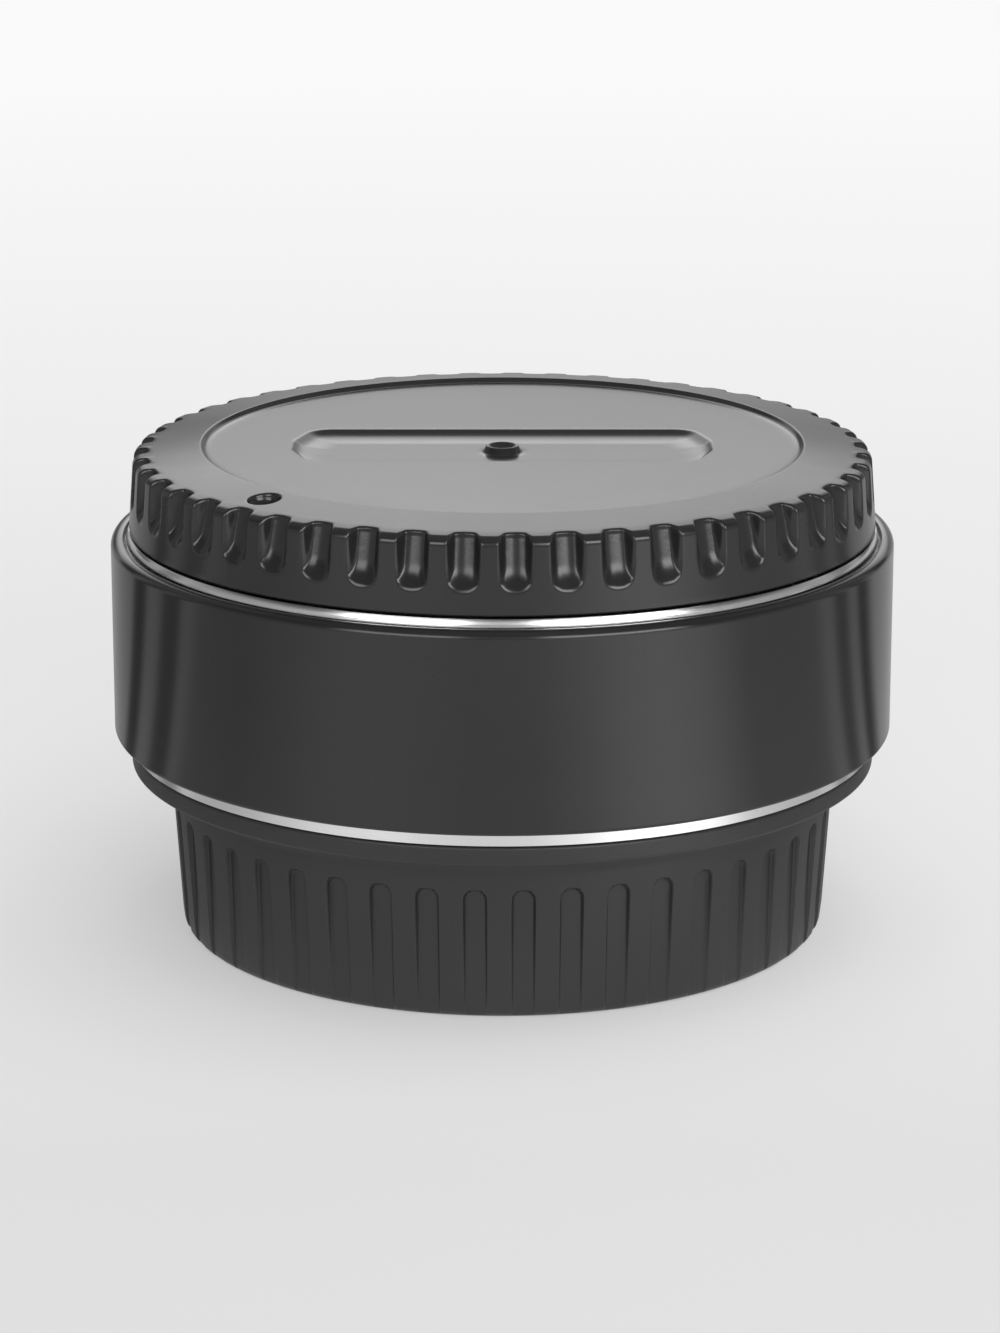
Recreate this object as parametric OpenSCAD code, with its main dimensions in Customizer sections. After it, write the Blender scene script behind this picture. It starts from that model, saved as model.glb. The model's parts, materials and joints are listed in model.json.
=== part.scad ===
// Camera teleconverter standing on its rear lens cap, with a body cap over its lens side.
// Origin: on the optical axis, on the surface that the rear cap stands on. +Z points to the lens.

/* [Bayonet mounts] */
// Outside diameter of both mount flanges
flange_d = 65; // [63:0.1:67]
// Distance between the lens-side and the camera-side flange faces
mount_spacing = 18.95; // [18:0.05:24]
// Bore of a female mount between its lugs
throat_d = 54.2; // [53.4:0.1:55.2]
// Bore inside the lugs of a female mount
lug_bore_d = 50.8; // [50:0.1:51.6]
// Thickness of every bayonet lug along the axis
lug_t = 1.4; // [1:0.1:1.8]
// Angle that each female lug spans
female_lug_span = 56; // [48:1:60]
// Angle that each male lug spans
male_lug_span = 50; // [40:1:54]
// Radial clearance of a male neck inside the female lugs
bayonet_clear = 0.3; // [0.2:0.05:0.5]
// Radial clearance of a male lug's tip inside the throat
lug_tip_clear = 0.4; // [0.25:0.05:0.6]
// Thickness of the camera-side flange
rear_flange_t = 1.1; // [0.9:0.1:1.8]
// Thickness of the lens-side flange at its rim
front_rim_t = 1.5; // [1.1:0.1:1.7]
// Radius of the crowned outer edge of the lens-side flange
front_rim_round = 1.8; // [1.3:0.1:4]
// Length of the male neck behind its flange face
neck_len = 6; // [5.5:0.1:6.6]
// Wall of the male neck
neck_wall = 1.3; // [0.9:0.1:1.5]

/* [Outer barrel] */
// How far the barrel's side stands out beyond the flanges
barrel_overhang = 1.35; // [0.9:0.05:3]
// Height of the dark line between the camera-side flange and the barrel
barrel_lift = 0.1; // [0.1:0.05:0.8]
// How far the lens-side flange stands proud of the barrel
ring_proud = 0.65; // [0.4:0.05:0.9]
// Rounding of the barrel's upper outer edge
barrel_top_round = 0.7; // [0.2:0.1:0.9]
// Rounding of the barrel's lower outer edge
barrel_foot_round = 0.4; // [0.2:0.1:0.8]

/* [Rear lens cap] */
// Height of the rear cap
rear_cap_h = 16.25; // [15:0.25:22]
// Wall of the rear cap at its foot
rear_wall = 2.25; // [1.8:0.05:3]
// How far the wall leans out between the foot and the flare
rear_lean = 0.8; // [0.2:0.05:1.2]
// How far the collar stays inside the flange
collar_inset = 0.1; // [0:0.05:0.8]
// Height of the collar
collar_h = 1.7; // [1.4:0.1:2.4]
// Height of the concave flare under the collar
flare_h = 2; // [1.5:0.1:2.4]
// Thickness of the cap's floor
rear_floor_t = 1.8; // [1.2:0.1:3]
// Rounding of the foot's edge
foot_round = 0.8; // [0.2:0.05:1.2]
// Number of grip flutes
flute_count = 45; // [30:1:50]
// Width of one flute
flute_w = 1.8; // [1.2:0.1:2.4]
// Depth of one flute at its round top
flute_depth = 0.5; // [0.2:0.05:0.7]
// Depth of one flute at the foot, where it runs out
flute_foot_depth = 0.12; // [0.1:0.02:0.5]
// Height of the plain band between the flutes and the flare
flute_band = 1.2; // [0.4:0.1:3]
// Azimuth of one flute, right of the front
flute_phase = 3.5; // [0:0.5:8]

/* [Body cap] */
// Height of the body cap above its seat
body_cap_h = 7.1; // [6.4:0.1:10]
// How far the skirt's lower edge stays inside the flange
skirt_inset = 0.25; // [0.1:0.05:0.5]
// How far the skirt leans in up to its rounded top edge
skirt_lean = 0.4; // [0.1:0.05:0.5]
// Rounding of the skirt's top edge
skirt_round = 0.85; // [0.3:0.05:1.4]
// Diameter of the round recess in the top
recess_d = 51.6; // [46:0.2:53]
// Depth of the round recess
recess_depth = 0.35; // [0.2:0.05:1]
// Width of the recess's sloped wall
recess_slope = 0.8; // [0.2:0.1:1.4]
// How far the rim falls from the recess to the edge
rim_drop = 0.65; // [0.2:0.05:0.8]
// Length of the eight-sided pocket in the recess
pocket_l = 36; // [24:0.5:42]
// Width of the eight-sided pocket
pocket_w = 12; // [7:0.5:16]
// Length of the pocket's slanted corners
pocket_end = 1.5; // [1:0.5:4]
// Width of the pocket's straight ends
pocket_end_w = 3; // [1:0.5:6]
// Depth of the eight-sided pocket
pocket_depth = 0.6; // [0.2:0.1:0.9]
// Thickness of the top under the pocket
top_wall = 1.65; // [0.8:0.05:1.8]
// Diameter of the round moulding mark in the pocket
gate_d = 3.2; // [2:0.1:5]
// Diameter of the index dimple on the rim
dimple_d = 3; // [2:0.1:3.4]
// Depth of the index dimple below the highest edge
dimple_depth = 0.9; // [0.5:0.1:1.2]
// Azimuth of the dimple, left of the front
dimple_azimuth = 44; // [0:1:90]
// Distance of the dimple's middle from the recess
dimple_out = 2.3; // [1.9:0.1:4]
// Number of grip notches
notch_count = 48; // [30:1:54]
// Width of one notch at the skirt
notch_w = 2.5; // [1.6:0.1:2.9]
// Width of one notch at its floor
notch_floor_w = 1.9; // [1:0.1:2.4]
// Depth of one notch at its foot
notch_depth = 0.8; // [0.5:0.05:1.2]
// Angle at which the notch's floor leans in towards the top
notch_lean = 15; // [0:1:20]
// Height of the notches' round feet above the skirt's lower edge
notch_foot = 2.6; // [1.8:0.1:3.4]
// Azimuth of one notch, right of the front
notch_phase = 1.9; // [0:0.1:7.5]
// Wall of the bayonet tube under the cap
cap_tube_wall = 1.7; // [1.2:0.1:2.4]
// Gap between a cap's rim and the flange face that it covers
cap_seat_gap = 0.15; // [0.05:0.05:0.3]

/* [Chassis] */
// Thickness of the chassis floor
chassis_floor_t = 2; // [1.6:0.1:2.6]
// Thickness of the bayonet's leaf-spring plate
spring_plate_t = 0.3; // [0.2:0.05:0.4]
// Free height between the leaf springs and the lugs
spring_gap = 0.45; // [0.3:0.05:0.8]
// Thickness of the black baffle in the lens-side throat
throat_baffle_t = 1; // [0.8:0.1:1.4]
// Depth of that baffle's face below the lens-side flange face
throat_baffle_depth = 6.9; // [6.7:0.1:7.6]
// Thickness of the light baffle behind the rear lens
rear_baffle_t = 1.2; // [0.8:0.1:1.5]
// Width of the picture window in the light baffle
window_w = 27; // [18:0.5:29]
// Height of the picture window in the light baffle
window_h = 19; // [12:0.5:20]

/* [Optics] */
// Diameter of the front elements
front_glass_d = 32.8; // [30.5:0.1:33.4]
// Diameter of the rear element
rear_glass_d = 29.2; // [26:0.1:30]
// Wall of the lens cell around the front elements
cell_wall = 2.7; // [2:0.1:2.9]
// Wall of the lens cell around the rear element
cell_rear_wall = 2.5; // [1.6:0.1:2.9]
// Edge thickness of the front element
front_edge_t = 2.2; // [1.8:0.1:3]
// Edge thickness of the doublet's front half
doublet_front_edge_t = 4.6; // [4.2:0.1:5.4]
// Edge thickness of the doublet's rear half
doublet_rear_edge_t = 1; // [0.6:0.1:1.6]
// Edge thickness of the rear element
rear_edge_t = 2.8; // [2.2:0.1:3.2]
// Thickness of the spacer behind the front element
spacer_t = 0.8; // [0.5:0.1:1.4]
// Thickness of the front retaining ring
front_ring_t = 1.2; // [0.8:0.1:1.8]
// Thickness of the rear retaining ring
rear_ring_t = 1.6; // [1:0.1:1.7]
// Width of the flat rim of every element
glass_rim = 1.4; // [1:0.1:2]

/* [Contacts] */
// Number of electrical contacts
contact_count = 8; // [4:1:9]
// Angle between neighbouring contacts
contact_pitch = 6.6; // [5.5:0.1:7]
// Diameter of a contact pin
contact_pin_d = 1.1; // [0.8:0.05:1.3]
// Travel of a contact pin
contact_travel = 0.8; // [0.4:0.05:1]
// Diameter of a rear contact pad
contact_pad_d = 1.8; // [1.2:0.1:2]
// Thickness of the circuit board
board_t = 0.8; // [0.5:0.1:1.2]

/* [Lens release] */
// Diameter of the lens lock pin
lock_pin_d = 1.6; // [1.2:0.1:1.7]
// How far the lock pin stands out of the lens-side flange
lock_pin_out = 1.3; // [0.8:0.1:2]
// Travel of the release knob and the lock pin
lock_travel = 1.8; // [1.4:0.1:2.4]
// Width of the release knob
knob_w = 6; // [4:0.2:8]
// Height of the release knob
knob_h = 3.8; // [3:0.1:4.2]
// How far the knob stands out of the barrel's recess
knob_out = 1.7; // [1.2:0.1:2.6]
// Depth of the barrel's recess around the knob
knob_recess = 0.85; // [0.6:0.05:1]

/* [Fasteners] */
// Diameter of the mount screws
mount_screw_d = 1.7; // [1.4:0.1:1.9]
// Head diameter of the mount screws
mount_head_d = 3.2; // [2.6:0.1:3.4]
// Length of the mount screws
mount_screw_l = 6; // [4:0.5:6.5]
// Diameter of the small screws inside
small_screw_d = 1.4; // [1.2:0.1:1.5]
// Head diameter of the small screws inside
small_head_d = 2.4; // [2:0.1:2.6]

/* [Hidden] */
$fn = 96;
// Sides of a large round shape when it is drawn
fine_fn = 160;
// Overlap of a cutter beyond the face that it cuts
cut = 1;
// Overlap that fuses two shapes of one piece
weld = 0.1;
lug_count = 3;
// Azimuths, anticlockwise from +X: index mark, contacts, lens release, the side seen first
top_azimuth = 165;
contact_azimuth = top_azimuth + 180;
lock_azimuth = top_azimuth - 90;
front_azimuth = -90;
// Azimuth of the male lugs and of the female lugs that they pass between
open_azimuth = top_azimuth;
shut_azimuth = top_azimuth + 180 / lug_count;
screw_azimuths = [for (i = [0:3]) top_azimuth + 45 + 90 * i];
post_azimuths = [for (i = [0:2]) contact_azimuth + 60 + 120 * i];
// Proportions of screw heads: the land of a countersunk head, the driver slots of every head
head_land = 0.1;
slot_l = 0.6;
slot_w = 0.24;
slot_depth = 0.55;
pan_head_h = 0.8;
// Radial clearances, from a pressed pin to a loose cover
press_clear = 0.02;
thread_clear = 0.03;
running_clear = 0.05;
loose_clear = 0.1;
open_clear = 0.3;

// Radii of the mounts
flange_r = flange_d / 2;
throat_r = throat_d / 2;
lug_bore_r = lug_bore_d / 2;
neck_r = lug_bore_r - bayonet_clear;
neck_in_r = neck_r - neck_wall;
male_lug_r = throat_r - lug_tip_clear;
// Depth to which a lug is rooted in its ring, and its step back from the ring's end
lug_root = 0.4;
lug_relief = 0.1;
// Heights, upwards from the table
rear_seat_z = rear_cap_h + cap_seat_gap;
rear_flange_top = rear_seat_z + rear_flange_t;
floor_top = rear_flange_top + chassis_floor_t;
front_seat_z = rear_seat_z + mount_spacing;
front_ring_h = lug_t + spring_gap + spring_plate_t;
chassis_top = front_seat_z - front_ring_h;
front_rim_z = front_seat_z - front_rim_t;
barrel_bottom = rear_flange_top + barrel_lift;
barrel_top = front_seat_z - ring_proud;
body_cap_z = front_seat_z + cap_seat_gap;
body_cap_top = body_cap_z + body_cap_h;
// Distance of a male lug's bearing face from its flange face
lug_play = 0.1;
lug_setback = front_ring_h + lug_play;
// Mount screws, midway across the flange
screw_shift = 0.1;
mount_screw_r = (throat_r + flange_r) / 2 + screw_shift;

// Barrel and chassis
barrel_r = flange_r + barrel_overhang;
barrel_seat = 0.7;
barrel_in_r = flange_r - barrel_seat;
chassis_r = barrel_in_r - loose_clear;
chassis_lip_r = flange_r - open_clear;
chassis_in_r = throat_r + loose_clear;
throat_room = 0.4;
chassis_throat_r = throat_r + throat_room;
flange_side_gap = 0.25;
// Angle at which the lens-side flange's crowned edge starts to lean in
crown_start = 8;
ring_step_r = mount_screw_r + mount_screw_d / 2 + loose_clear;
spring_plate_room = 0.35;
spring_plate_r = mount_screw_r - mount_screw_d / 2 - spring_plate_room;
leaf_inset = 0.3;
leaf_margin = 12;
tapped_extra = 0.4;

// Throat baffle and its posts
throat_baffle_top = front_seat_z - throat_baffle_depth;
throat_baffle_z = throat_baffle_top - throat_baffle_t;
post_d = 3;
post_gap = 0.2;
post_r = chassis_in_r - post_d / 2 - post_gap;
post_tap = 4;
post_bite = 3.5;

// Lens cell
glass_clear = 0.1;
front_glass_r = front_glass_d / 2;
rear_glass_r = rear_glass_d / 2;
front_bore_r = front_glass_r + glass_clear;
rear_bore_glass_r = rear_glass_r + glass_clear;
cell_r = front_bore_r + cell_wall;
cell_rear_r = rear_bore_glass_r + cell_rear_wall;
stop_t = 1;
stop_drop = 0.5;
stop_front_z = floor_top - stop_drop;
stop_rear_z = stop_front_z - stop_t;
aperture_margin = 0.2;
stop_r = rear_glass_r - glass_rim + aperture_margin;
doublet_joint_z = stop_front_z + doublet_rear_edge_t;
doublet_top_z = doublet_joint_z + doublet_front_edge_t;
front_glass_z = doublet_top_z + spacer_t;
front_glass_top = front_glass_z + front_edge_t;
cell_lip = 0.2;
cell_top = front_glass_top + front_ring_t + cell_lip;
rear_glass_z = stop_rear_z - rear_edge_t;
cell_bottom = rear_glass_z - rear_ring_t - cell_lip;
ring_slot_w = 1;
ring_slot_depth = 0.5;
// Radii of curvature of the glass
front_face_curve = 110;
front_back_curve = 50;
doublet_face_curve = 135;
doublet_joint_curve = 48;
doublet_back_curve = 70;
rear_face_curve = 80;
rear_back_curve = 60;
// Ears of the lens cell
ear_span = 20;
ear_t = 1.4;
ear_reach = 2.4;
ear_edge = 0.8;
ear_screw_r = cell_r + ear_reach;
ear_r = ear_screw_r + small_head_d / 2 + ear_edge;

// Contact blocks, one above and one below the chassis floor
block_side_gap = 0.3;
block_shoulder = 2;
block_out_r = neck_in_r - block_side_gap;
contact_r = block_out_r - block_shoulder;
block_in_r = contact_r - block_shoulder;
front_block_gap = 0.6;
front_block_in_r = cell_r + front_block_gap;
contact_span = contact_pitch * (contact_count - 1) / 2;
board_margin = 2.9;
board_span = contact_span + board_margin;
screw_margin = 3.5;
block_screw_angle = board_span + screw_margin;
block_span = block_screw_angle + screw_margin;
// Angles by which the openings around the blocks, the board and the tails are wider than these
block_slot_margin = 2;
board_slot_margin = 0.6;
tail_slot_margin = 4;
contact_depth = 6.45;
front_block_top = front_seat_z - contact_depth;
pin_stand = 0.3;
pin_seat = 2.7;
pin_spring_l = 3.7;
pin_top = front_block_top + pin_stand + contact_travel;
pin_bottom = front_block_top - pin_seat;
pin_well_z = pin_bottom - pin_spring_l;
pin_spring_wire_d = 0.2;
pin_spring_room = 0.18;
pin_spring_r = contact_pin_d / 2 - pin_spring_room;
rear_block_setback = 0.2;
rear_block_z = rear_seat_z - neck_len + rear_block_setback;
pad_t = 0.4;
pad_proud = 0.05;
tail_d = 0.6;
block_tap = 4.8;
block_bite = 4.5;
head_sink = 0.9;
board_gap = 0.4;
board_in_r = cell_r + board_gap;
board_out_r = chassis_in_r - press_clear;
chip_l = 5;
chip_w = 2.4;
chip_t = 0.9;
chip_gap = 0.6;

// Light baffle behind the rear lens
baffle_setback = 0.8;
rear_baffle_z = rear_seat_z - neck_len + baffle_setback;
baffle_side_gap = 0.2;
baffle_cup_r = neck_in_r - baffle_side_gap;
baffle_wall = 0.7;
baffle_rim_r = neck_r - baffle_side_gap;
baffle_rim_t = 0.6;

// Lens release
lock_pin_shift = 0.6;
lock_pin_r = mount_screw_r - lock_pin_shift;
lock_pin_tip = 0.3;
lock_pin_seat = 2.6;
camera_lock_d = 3;
carrier_w = 5.4;
carrier_h = 4.2;
carrier_web = 0.25;
carrier_in_r = lock_pin_r - lock_pin_d / 2 - carrier_web;
carrier_out_r = chassis_r - open_clear;
carrier_top = chassis_top - loose_clear;
carrier_bottom = carrier_top - carrier_h;
lock_well_room = 0.2;
lock_spring_l = 6.5;
lock_well_z = carrier_bottom - lock_spring_l;
stem_w = 2.4;
stem_h = 1.6;
stem_drop = 2.9;
stem_z = carrier_top - stem_drop;
stem_mid_z = stem_z + stem_h / 2;
recess_floor_r = barrel_r - knob_recess;
knob_shift = 0.3;
knob_z = stem_mid_z - knob_h / 2 - knob_shift;
knob_in_r = recess_floor_r + loose_clear;
knob_out_r = knob_in_r + knob_out;
knob_edge_room = 0.4;
knob_ribs = 5;
rib_cut_w = 0.4;
rib_cut_depth = 0.35;
knob_screw_bite = 0.9;
lock_spring_r = 1.05;
lock_spring_wire_d = 0.36;
lock_spring_at_r = (carrier_in_r + carrier_out_r) / 2;

// Rear cap
collar_r = flange_r - collar_inset;
collar_edge = 0.2;
collar_z = rear_cap_h - collar_h;
flare_z = collar_z - flare_h;
flare_end = 110;
neck_room = 0.8;
rear_well_r = neck_r + neck_room;
rear_base_r = rear_well_r + rear_wall;
rear_top_r = rear_base_r + rear_lean;
rear_bore_r = throat_r + loose_clear;
lug_floor_room = 0.6;
rear_bore_z = rear_seat_z - lug_setback - lug_t - lug_floor_room;
flute_top = flare_z - flute_band;
flute_lean = atan((rear_lean * flute_top / flare_z - flute_depth + flute_foot_depth) / flute_top);

// Body cap
skirt_base_r = flange_r - skirt_inset;
skirt_top_r = skirt_base_r - skirt_lean;
skirt_edge = 0.15;
skirt_in_r = lock_pin_r + lock_pin_d / 2 + open_clear;
recess_r = recess_d / 2;
recess_edge = 0.2;
recess_z = body_cap_top - recess_depth;
pocket_z = recess_z - pocket_depth;
body_cap_ceiling = pocket_z - top_wall;
rim_edge_z = body_cap_top - rim_drop;
dimple_r = recess_r + dimple_out;
cap_lug_z = front_seat_z - lug_setback - lug_t;
cap_tube_z = cap_lug_z - lug_relief;
cap_tube_in_r = neck_r - cap_tube_wall;
gate_wall = 0.35;

// Index beads
bead_d = 2;
bead_depth = 0.5;
bead_dome = 0.35;
bead_height = 3;
rear_bead_z = barrel_bottom + bead_height;

// Points of an arc about a centre, for the outline of a turned shape
function arc(centre, r, from, to, steps = 6) =
    [for (i = [0:steps]) let (a = from + (to - from) * i / steps) centre + r * [cos(a), sin(a)]];

// Azimuth of one contact
function contact_angle(i) = contact_azimuth + (i - (contact_count - 1) / 2) * contact_pitch;

// Depth of a spherical face at a radius
function sag(curve, r) = curve - sqrt(curve * curve - r * r);

// Height of a countersunk head
function sunk_head_h(d, head_d) = (head_d - d) / 2 + head_land * d;

// Tube between two radii and two heights
module tube(r_out, r_in, z0, z1) {
    difference() {
        translate([0, 0, z0]) cylinder(r = r_out, h = z1 - z0, $fn = fine_fn);
        translate([0, 0, z0 - cut]) cylinder(r = r_in, h = z1 - z0 + 2 * cut, $fn = fine_fn);
    }
}

// Part of a tube, centred on an azimuth
module sector(r_out, r_in, z0, z1, azimuth, span) {
    rotate([0, 0, azimuth - span / 2])
        rotate_extrude(angle = span, $fn = fine_fn)
            translate([r_in, z0]) square([r_out - r_in, z1 - z0]);
}

// Round bar along Z, at a distance from the axis and an azimuth
module bar(r, z0, z1, at_r = 0, azimuth = 0) {
    rotate([0, 0, azimuth]) translate([at_r, 0, z0]) cylinder(r = r, h = z1 - z0);
}

// Straight block that runs outwards between two distances from the axis
module block(r_in, r_out, width, z0, z1, azimuth) {
    rotate([0, 0, azimuth]) translate([r_in, -width / 2, z0]) cube([r_out - r_in, width, z1 - z0]);
}

// Bayonet lugs between two radii, the first at an azimuth
module lugs(r_out, r_in, z0, z1, span, azimuth) {
    for (i = [0:lug_count - 1]) sector(r_out, r_in, z0, z1, azimuth + 360 / lug_count * i, span);
}

// Crossed driver slots, cut upwards from a height
module driver_cross(length, width, z) {
    for (a = [0, 90]) rotate([0, 0, a]) translate([-length / 2, -width / 2, z]) cube([length, width, cut]);
}

// Countersunk screw whose head face lies at the origin and whose shank runs along -Z
module countersunk_screw(d, head_d, length) {
    head_h = sunk_head_h(d, head_d);
    difference() {
        union() {
            translate([0, 0, -length]) cylinder(d = d, h = length);
            translate([0, 0, -head_h]) cylinder(d1 = d, d2 = head_d, h = head_h);
        }
        driver_cross(slot_l * head_d, slot_w * d, -slot_depth * head_h);
    }
}

// Space for a countersunk screw, with a clearance all round
module countersunk_space(d, head_d, length, clear) {
    head_h = sunk_head_h(d, head_d);
    translate([0, 0, -length - clear]) cylinder(d = d + 2 * clear, h = length + clear + cut);
    translate([0, 0, -head_h]) cylinder(d1 = d + 2 * clear, d2 = head_d + 2 * clear, h = head_h);
    cylinder(d = head_d + 2 * clear, h = cut);
}

// Pan-head screw whose head rests at the origin and whose shank runs along -Z
module pan_screw(d, head_d, length) {
    difference() {
        union() {
            translate([0, 0, -length]) cylinder(d = d, h = length);
            cylinder(d = head_d, h = pan_head_h);
        }
        driver_cross(slot_l * head_d, slot_w * d, (1 - slot_depth) * pan_head_h);
    }
}

// Coil spring along Z, as one unbroken wire
module coil(r, wire_d, z0, z1, turns, sides, rings = 8) {
    count = turns * rings;
    rise = (z1 - z0 - wire_d) / count;
    points = [for (i = [0:count], j = [0:sides - 1])
        let (a = 360 * i / rings, b = 360 * j / sides, reach = r + wire_d / 2 * cos(b))
        [reach * cos(a), reach * sin(a), z0 + wire_d / 2 + rise * i + wire_d / 2 * sin(b)]];
    walls = [for (i = [0:count - 1], j = [0:sides - 1])
        let (a = i * sides + j, b = i * sides + (j + 1) % sides)
        each [[a, a + sides, b], [b, a + sides, b + sides]]];
    start = [for (j = [0:sides - 1]) j];
    end = [for (j = [0:sides - 1]) (count + 1) * sides - 1 - j];
    polyhedron(points = points, faces = concat(walls, [start, end]));
}

// Puts its children at the screws of one flange; side is 1 for the lens side, -1 for the camera side
module at_mount_screws(side) {
    face_z = side > 0 ? front_seat_z : rear_seat_z;
    for (a = screw_azimuths) rotate([0, 0, a]) translate([mount_screw_r, 0, face_z])
        rotate([side > 0 ? 0 : 180, 0, 0]) children();
}

// Puts its children at a distance and a height on the release's azimuth, with +Z turned outwards
module at_release(r, z) {
    rotate([0, 0, lock_azimuth]) translate([r, 0, z]) rotate([0, 90, 0]) children();
}

// Spherical dome that rises from a height, as wide as the clear aperture
module dome(curve, r, z) {
    intersection() {
        bar(r, z - weld, z + sag(curve, r) + cut);
        translate([0, 0, z + sag(curve, r) - curve]) sphere(r = curve, $fn = fine_fn);
    }
}

// Grip notch of the body cap, open at the top, with slanted walls and a floor that leans in
module notch() {
    foot_z = body_cap_z + notch_foot + notch_w / 2;
    reach = notch_depth + 2 * cut;
    near = notch_floor_w / 2;
    wide = near + (notch_w - notch_floor_w) / 2 / notch_depth * reach;
    translate([skirt_top_r - notch_depth, 0, foot_z]) rotate([0, -notch_lean, 0]) {
        rotate([0, 90, 0]) cylinder(r1 = near, r2 = wide, h = reach);
        linear_extrude(body_cap_top - foot_z + cut)
            polygon([[0, -near], [reach, -wide], [reach, wide], [0, near]]);
    }
}

// Grip flute of the rear cap, open at the foot, whose floor is steeper than the cap's wall
module flute() {
    straight_top = flute_top - flute_w / 2;
    reach = flute_depth + cut;
    translate([rear_base_r - flute_foot_depth, 0, 0]) rotate([0, flute_lean, 0]) {
        translate([0, -flute_w / 2, -cut]) cube([reach, flute_w, straight_top + cut]);
        translate([0, 0, straight_top]) rotate([0, 90, 0]) cylinder(d = flute_w, h = reach);
    }
}

// Eight-sided outline of the pocket in the body cap
function pocket_outline() =
    let (x = pocket_l / 2, y = pocket_w / 2, u = x - pocket_end, v = pocket_end_w / 2)
    [[-x, -v], [-u, -y], [u, -y], [x, -v], [x, v], [u, y], [-u, y], [-x, v]];

// Moulded cap over the camera-side bayonet, set on with its lugs between the male lugs
module rear_cap() {
    outline = concat(
        [[0, 0]],
        arc([rear_base_r - foot_round, foot_round], foot_round, -90, 0, 4),
        [[rear_top_r, flare_z]],
        arc([rear_top_r + flare_h, flare_z], flare_h, 180, flare_end),
        [[collar_r - collar_edge, collar_z], [collar_r, collar_z + collar_edge]],
        [[collar_r, rear_cap_h - collar_edge], [collar_r - collar_edge, rear_cap_h]],
        [[rear_bore_r, rear_cap_h], [rear_bore_r, rear_bore_z]],
        [[rear_well_r, rear_bore_z], [rear_well_r, rear_floor_t], [0, rear_floor_t]]);
    color("#232427") {
        difference() {
            rotate_extrude($fn = fine_fn) polygon(outline);
            for (i = [0:flute_count - 1])
                rotate([0, 0, front_azimuth + flute_phase + 360 / flute_count * i]) flute();
        }
        lugs(rear_bore_r + lug_root, lug_bore_r, rear_cap_h - lug_t, rear_cap_h - lug_relief,
            female_lug_span, open_azimuth);
    }
}

// Plated male bayonet that goes into a camera, with a slot for the camera's lock pin
module rear_mount_ring() {
    lug_top = rear_seat_z - lug_setback;
    color("#d6d6d6") difference() {
        union() {
            tube(flange_r, neck_in_r, rear_seat_z, rear_flange_top);
            tube(neck_r, neck_in_r, rear_seat_z - neck_len, rear_seat_z + weld);
            lugs(male_lug_r, neck_r - lug_root, lug_top - lug_t, lug_top, male_lug_span, shut_azimuth);
        }
        bar(baffle_rim_r + loose_clear, rear_flange_top - baffle_rim_t, rear_flange_top + cut);
        at_mount_screws(-1) countersunk_space(mount_screw_d, mount_head_d, mount_screw_l, running_clear);
        bar(camera_lock_d / 2, rear_seat_z - cut, rear_flange_top + cut, lock_pin_r, lock_azimuth);
    }
}

module rear_mount_screws() {
    color("#b9babd") at_mount_screws(-1) countersunk_screw(mount_screw_d, mount_head_d, mount_screw_l);
}

// Black cup inside the male neck, with a picture window
module rear_light_baffle() {
    cup_in_r = baffle_cup_r - baffle_wall;
    color("#18181a") difference() {
        union() {
            tube(baffle_cup_r, cup_in_r, rear_baffle_z, rear_flange_top);
            tube(baffle_rim_r, cup_in_r, rear_flange_top - baffle_rim_t, rear_flange_top);
            bar(cup_in_r + weld, rear_baffle_z, rear_baffle_z + rear_baffle_t);
        }
        rotate([0, 0, top_azimuth]) translate([-window_h / 2, -window_w / 2, rear_baffle_z - cut])
            cube([window_h, window_w, rear_baffle_t + 2 * cut]);
        sector(baffle_rim_r + cut, block_in_r - baffle_side_gap, rear_baffle_z - cut, rear_flange_top + cut,
            contact_azimuth, 2 * block_span + block_slot_margin);
    }
}

// Insulator that carries the camera-side contact pads
module rear_contact_block() {
    color("#1d1d20") difference() {
        sector(block_out_r, block_in_r, rear_block_z, rear_flange_top, contact_azimuth, 2 * block_span);
        for (i = [0:contact_count - 1]) {
            bar(contact_pad_d / 2 + press_clear, rear_block_z - cut, rear_block_z + pad_t - pad_proud,
                contact_r, contact_angle(i));
            bar(tail_d / 2 + press_clear, rear_block_z - cut, rear_flange_top + cut, contact_r,
                contact_angle(i));
        }
        for (side = [-1, 1])
            bar(small_screw_d / 2 + thread_clear, rear_flange_top - block_tap, rear_flange_top + cut,
                contact_r, contact_azimuth + side * block_screw_angle);
    }
}

// Gilt pads, each with a tail that runs up to the circuit board
module rear_contact_pads() {
    pad_z = rear_block_z - pad_proud;
    color("#d9b45a") for (i = [0:contact_count - 1]) {
        bar(contact_pad_d / 2, pad_z, pad_z + pad_t, contact_r, contact_angle(i));
        bar(tail_d / 2, pad_z + pad_t / 2, floor_top + board_t, contact_r, contact_angle(i));
    }
}

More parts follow.
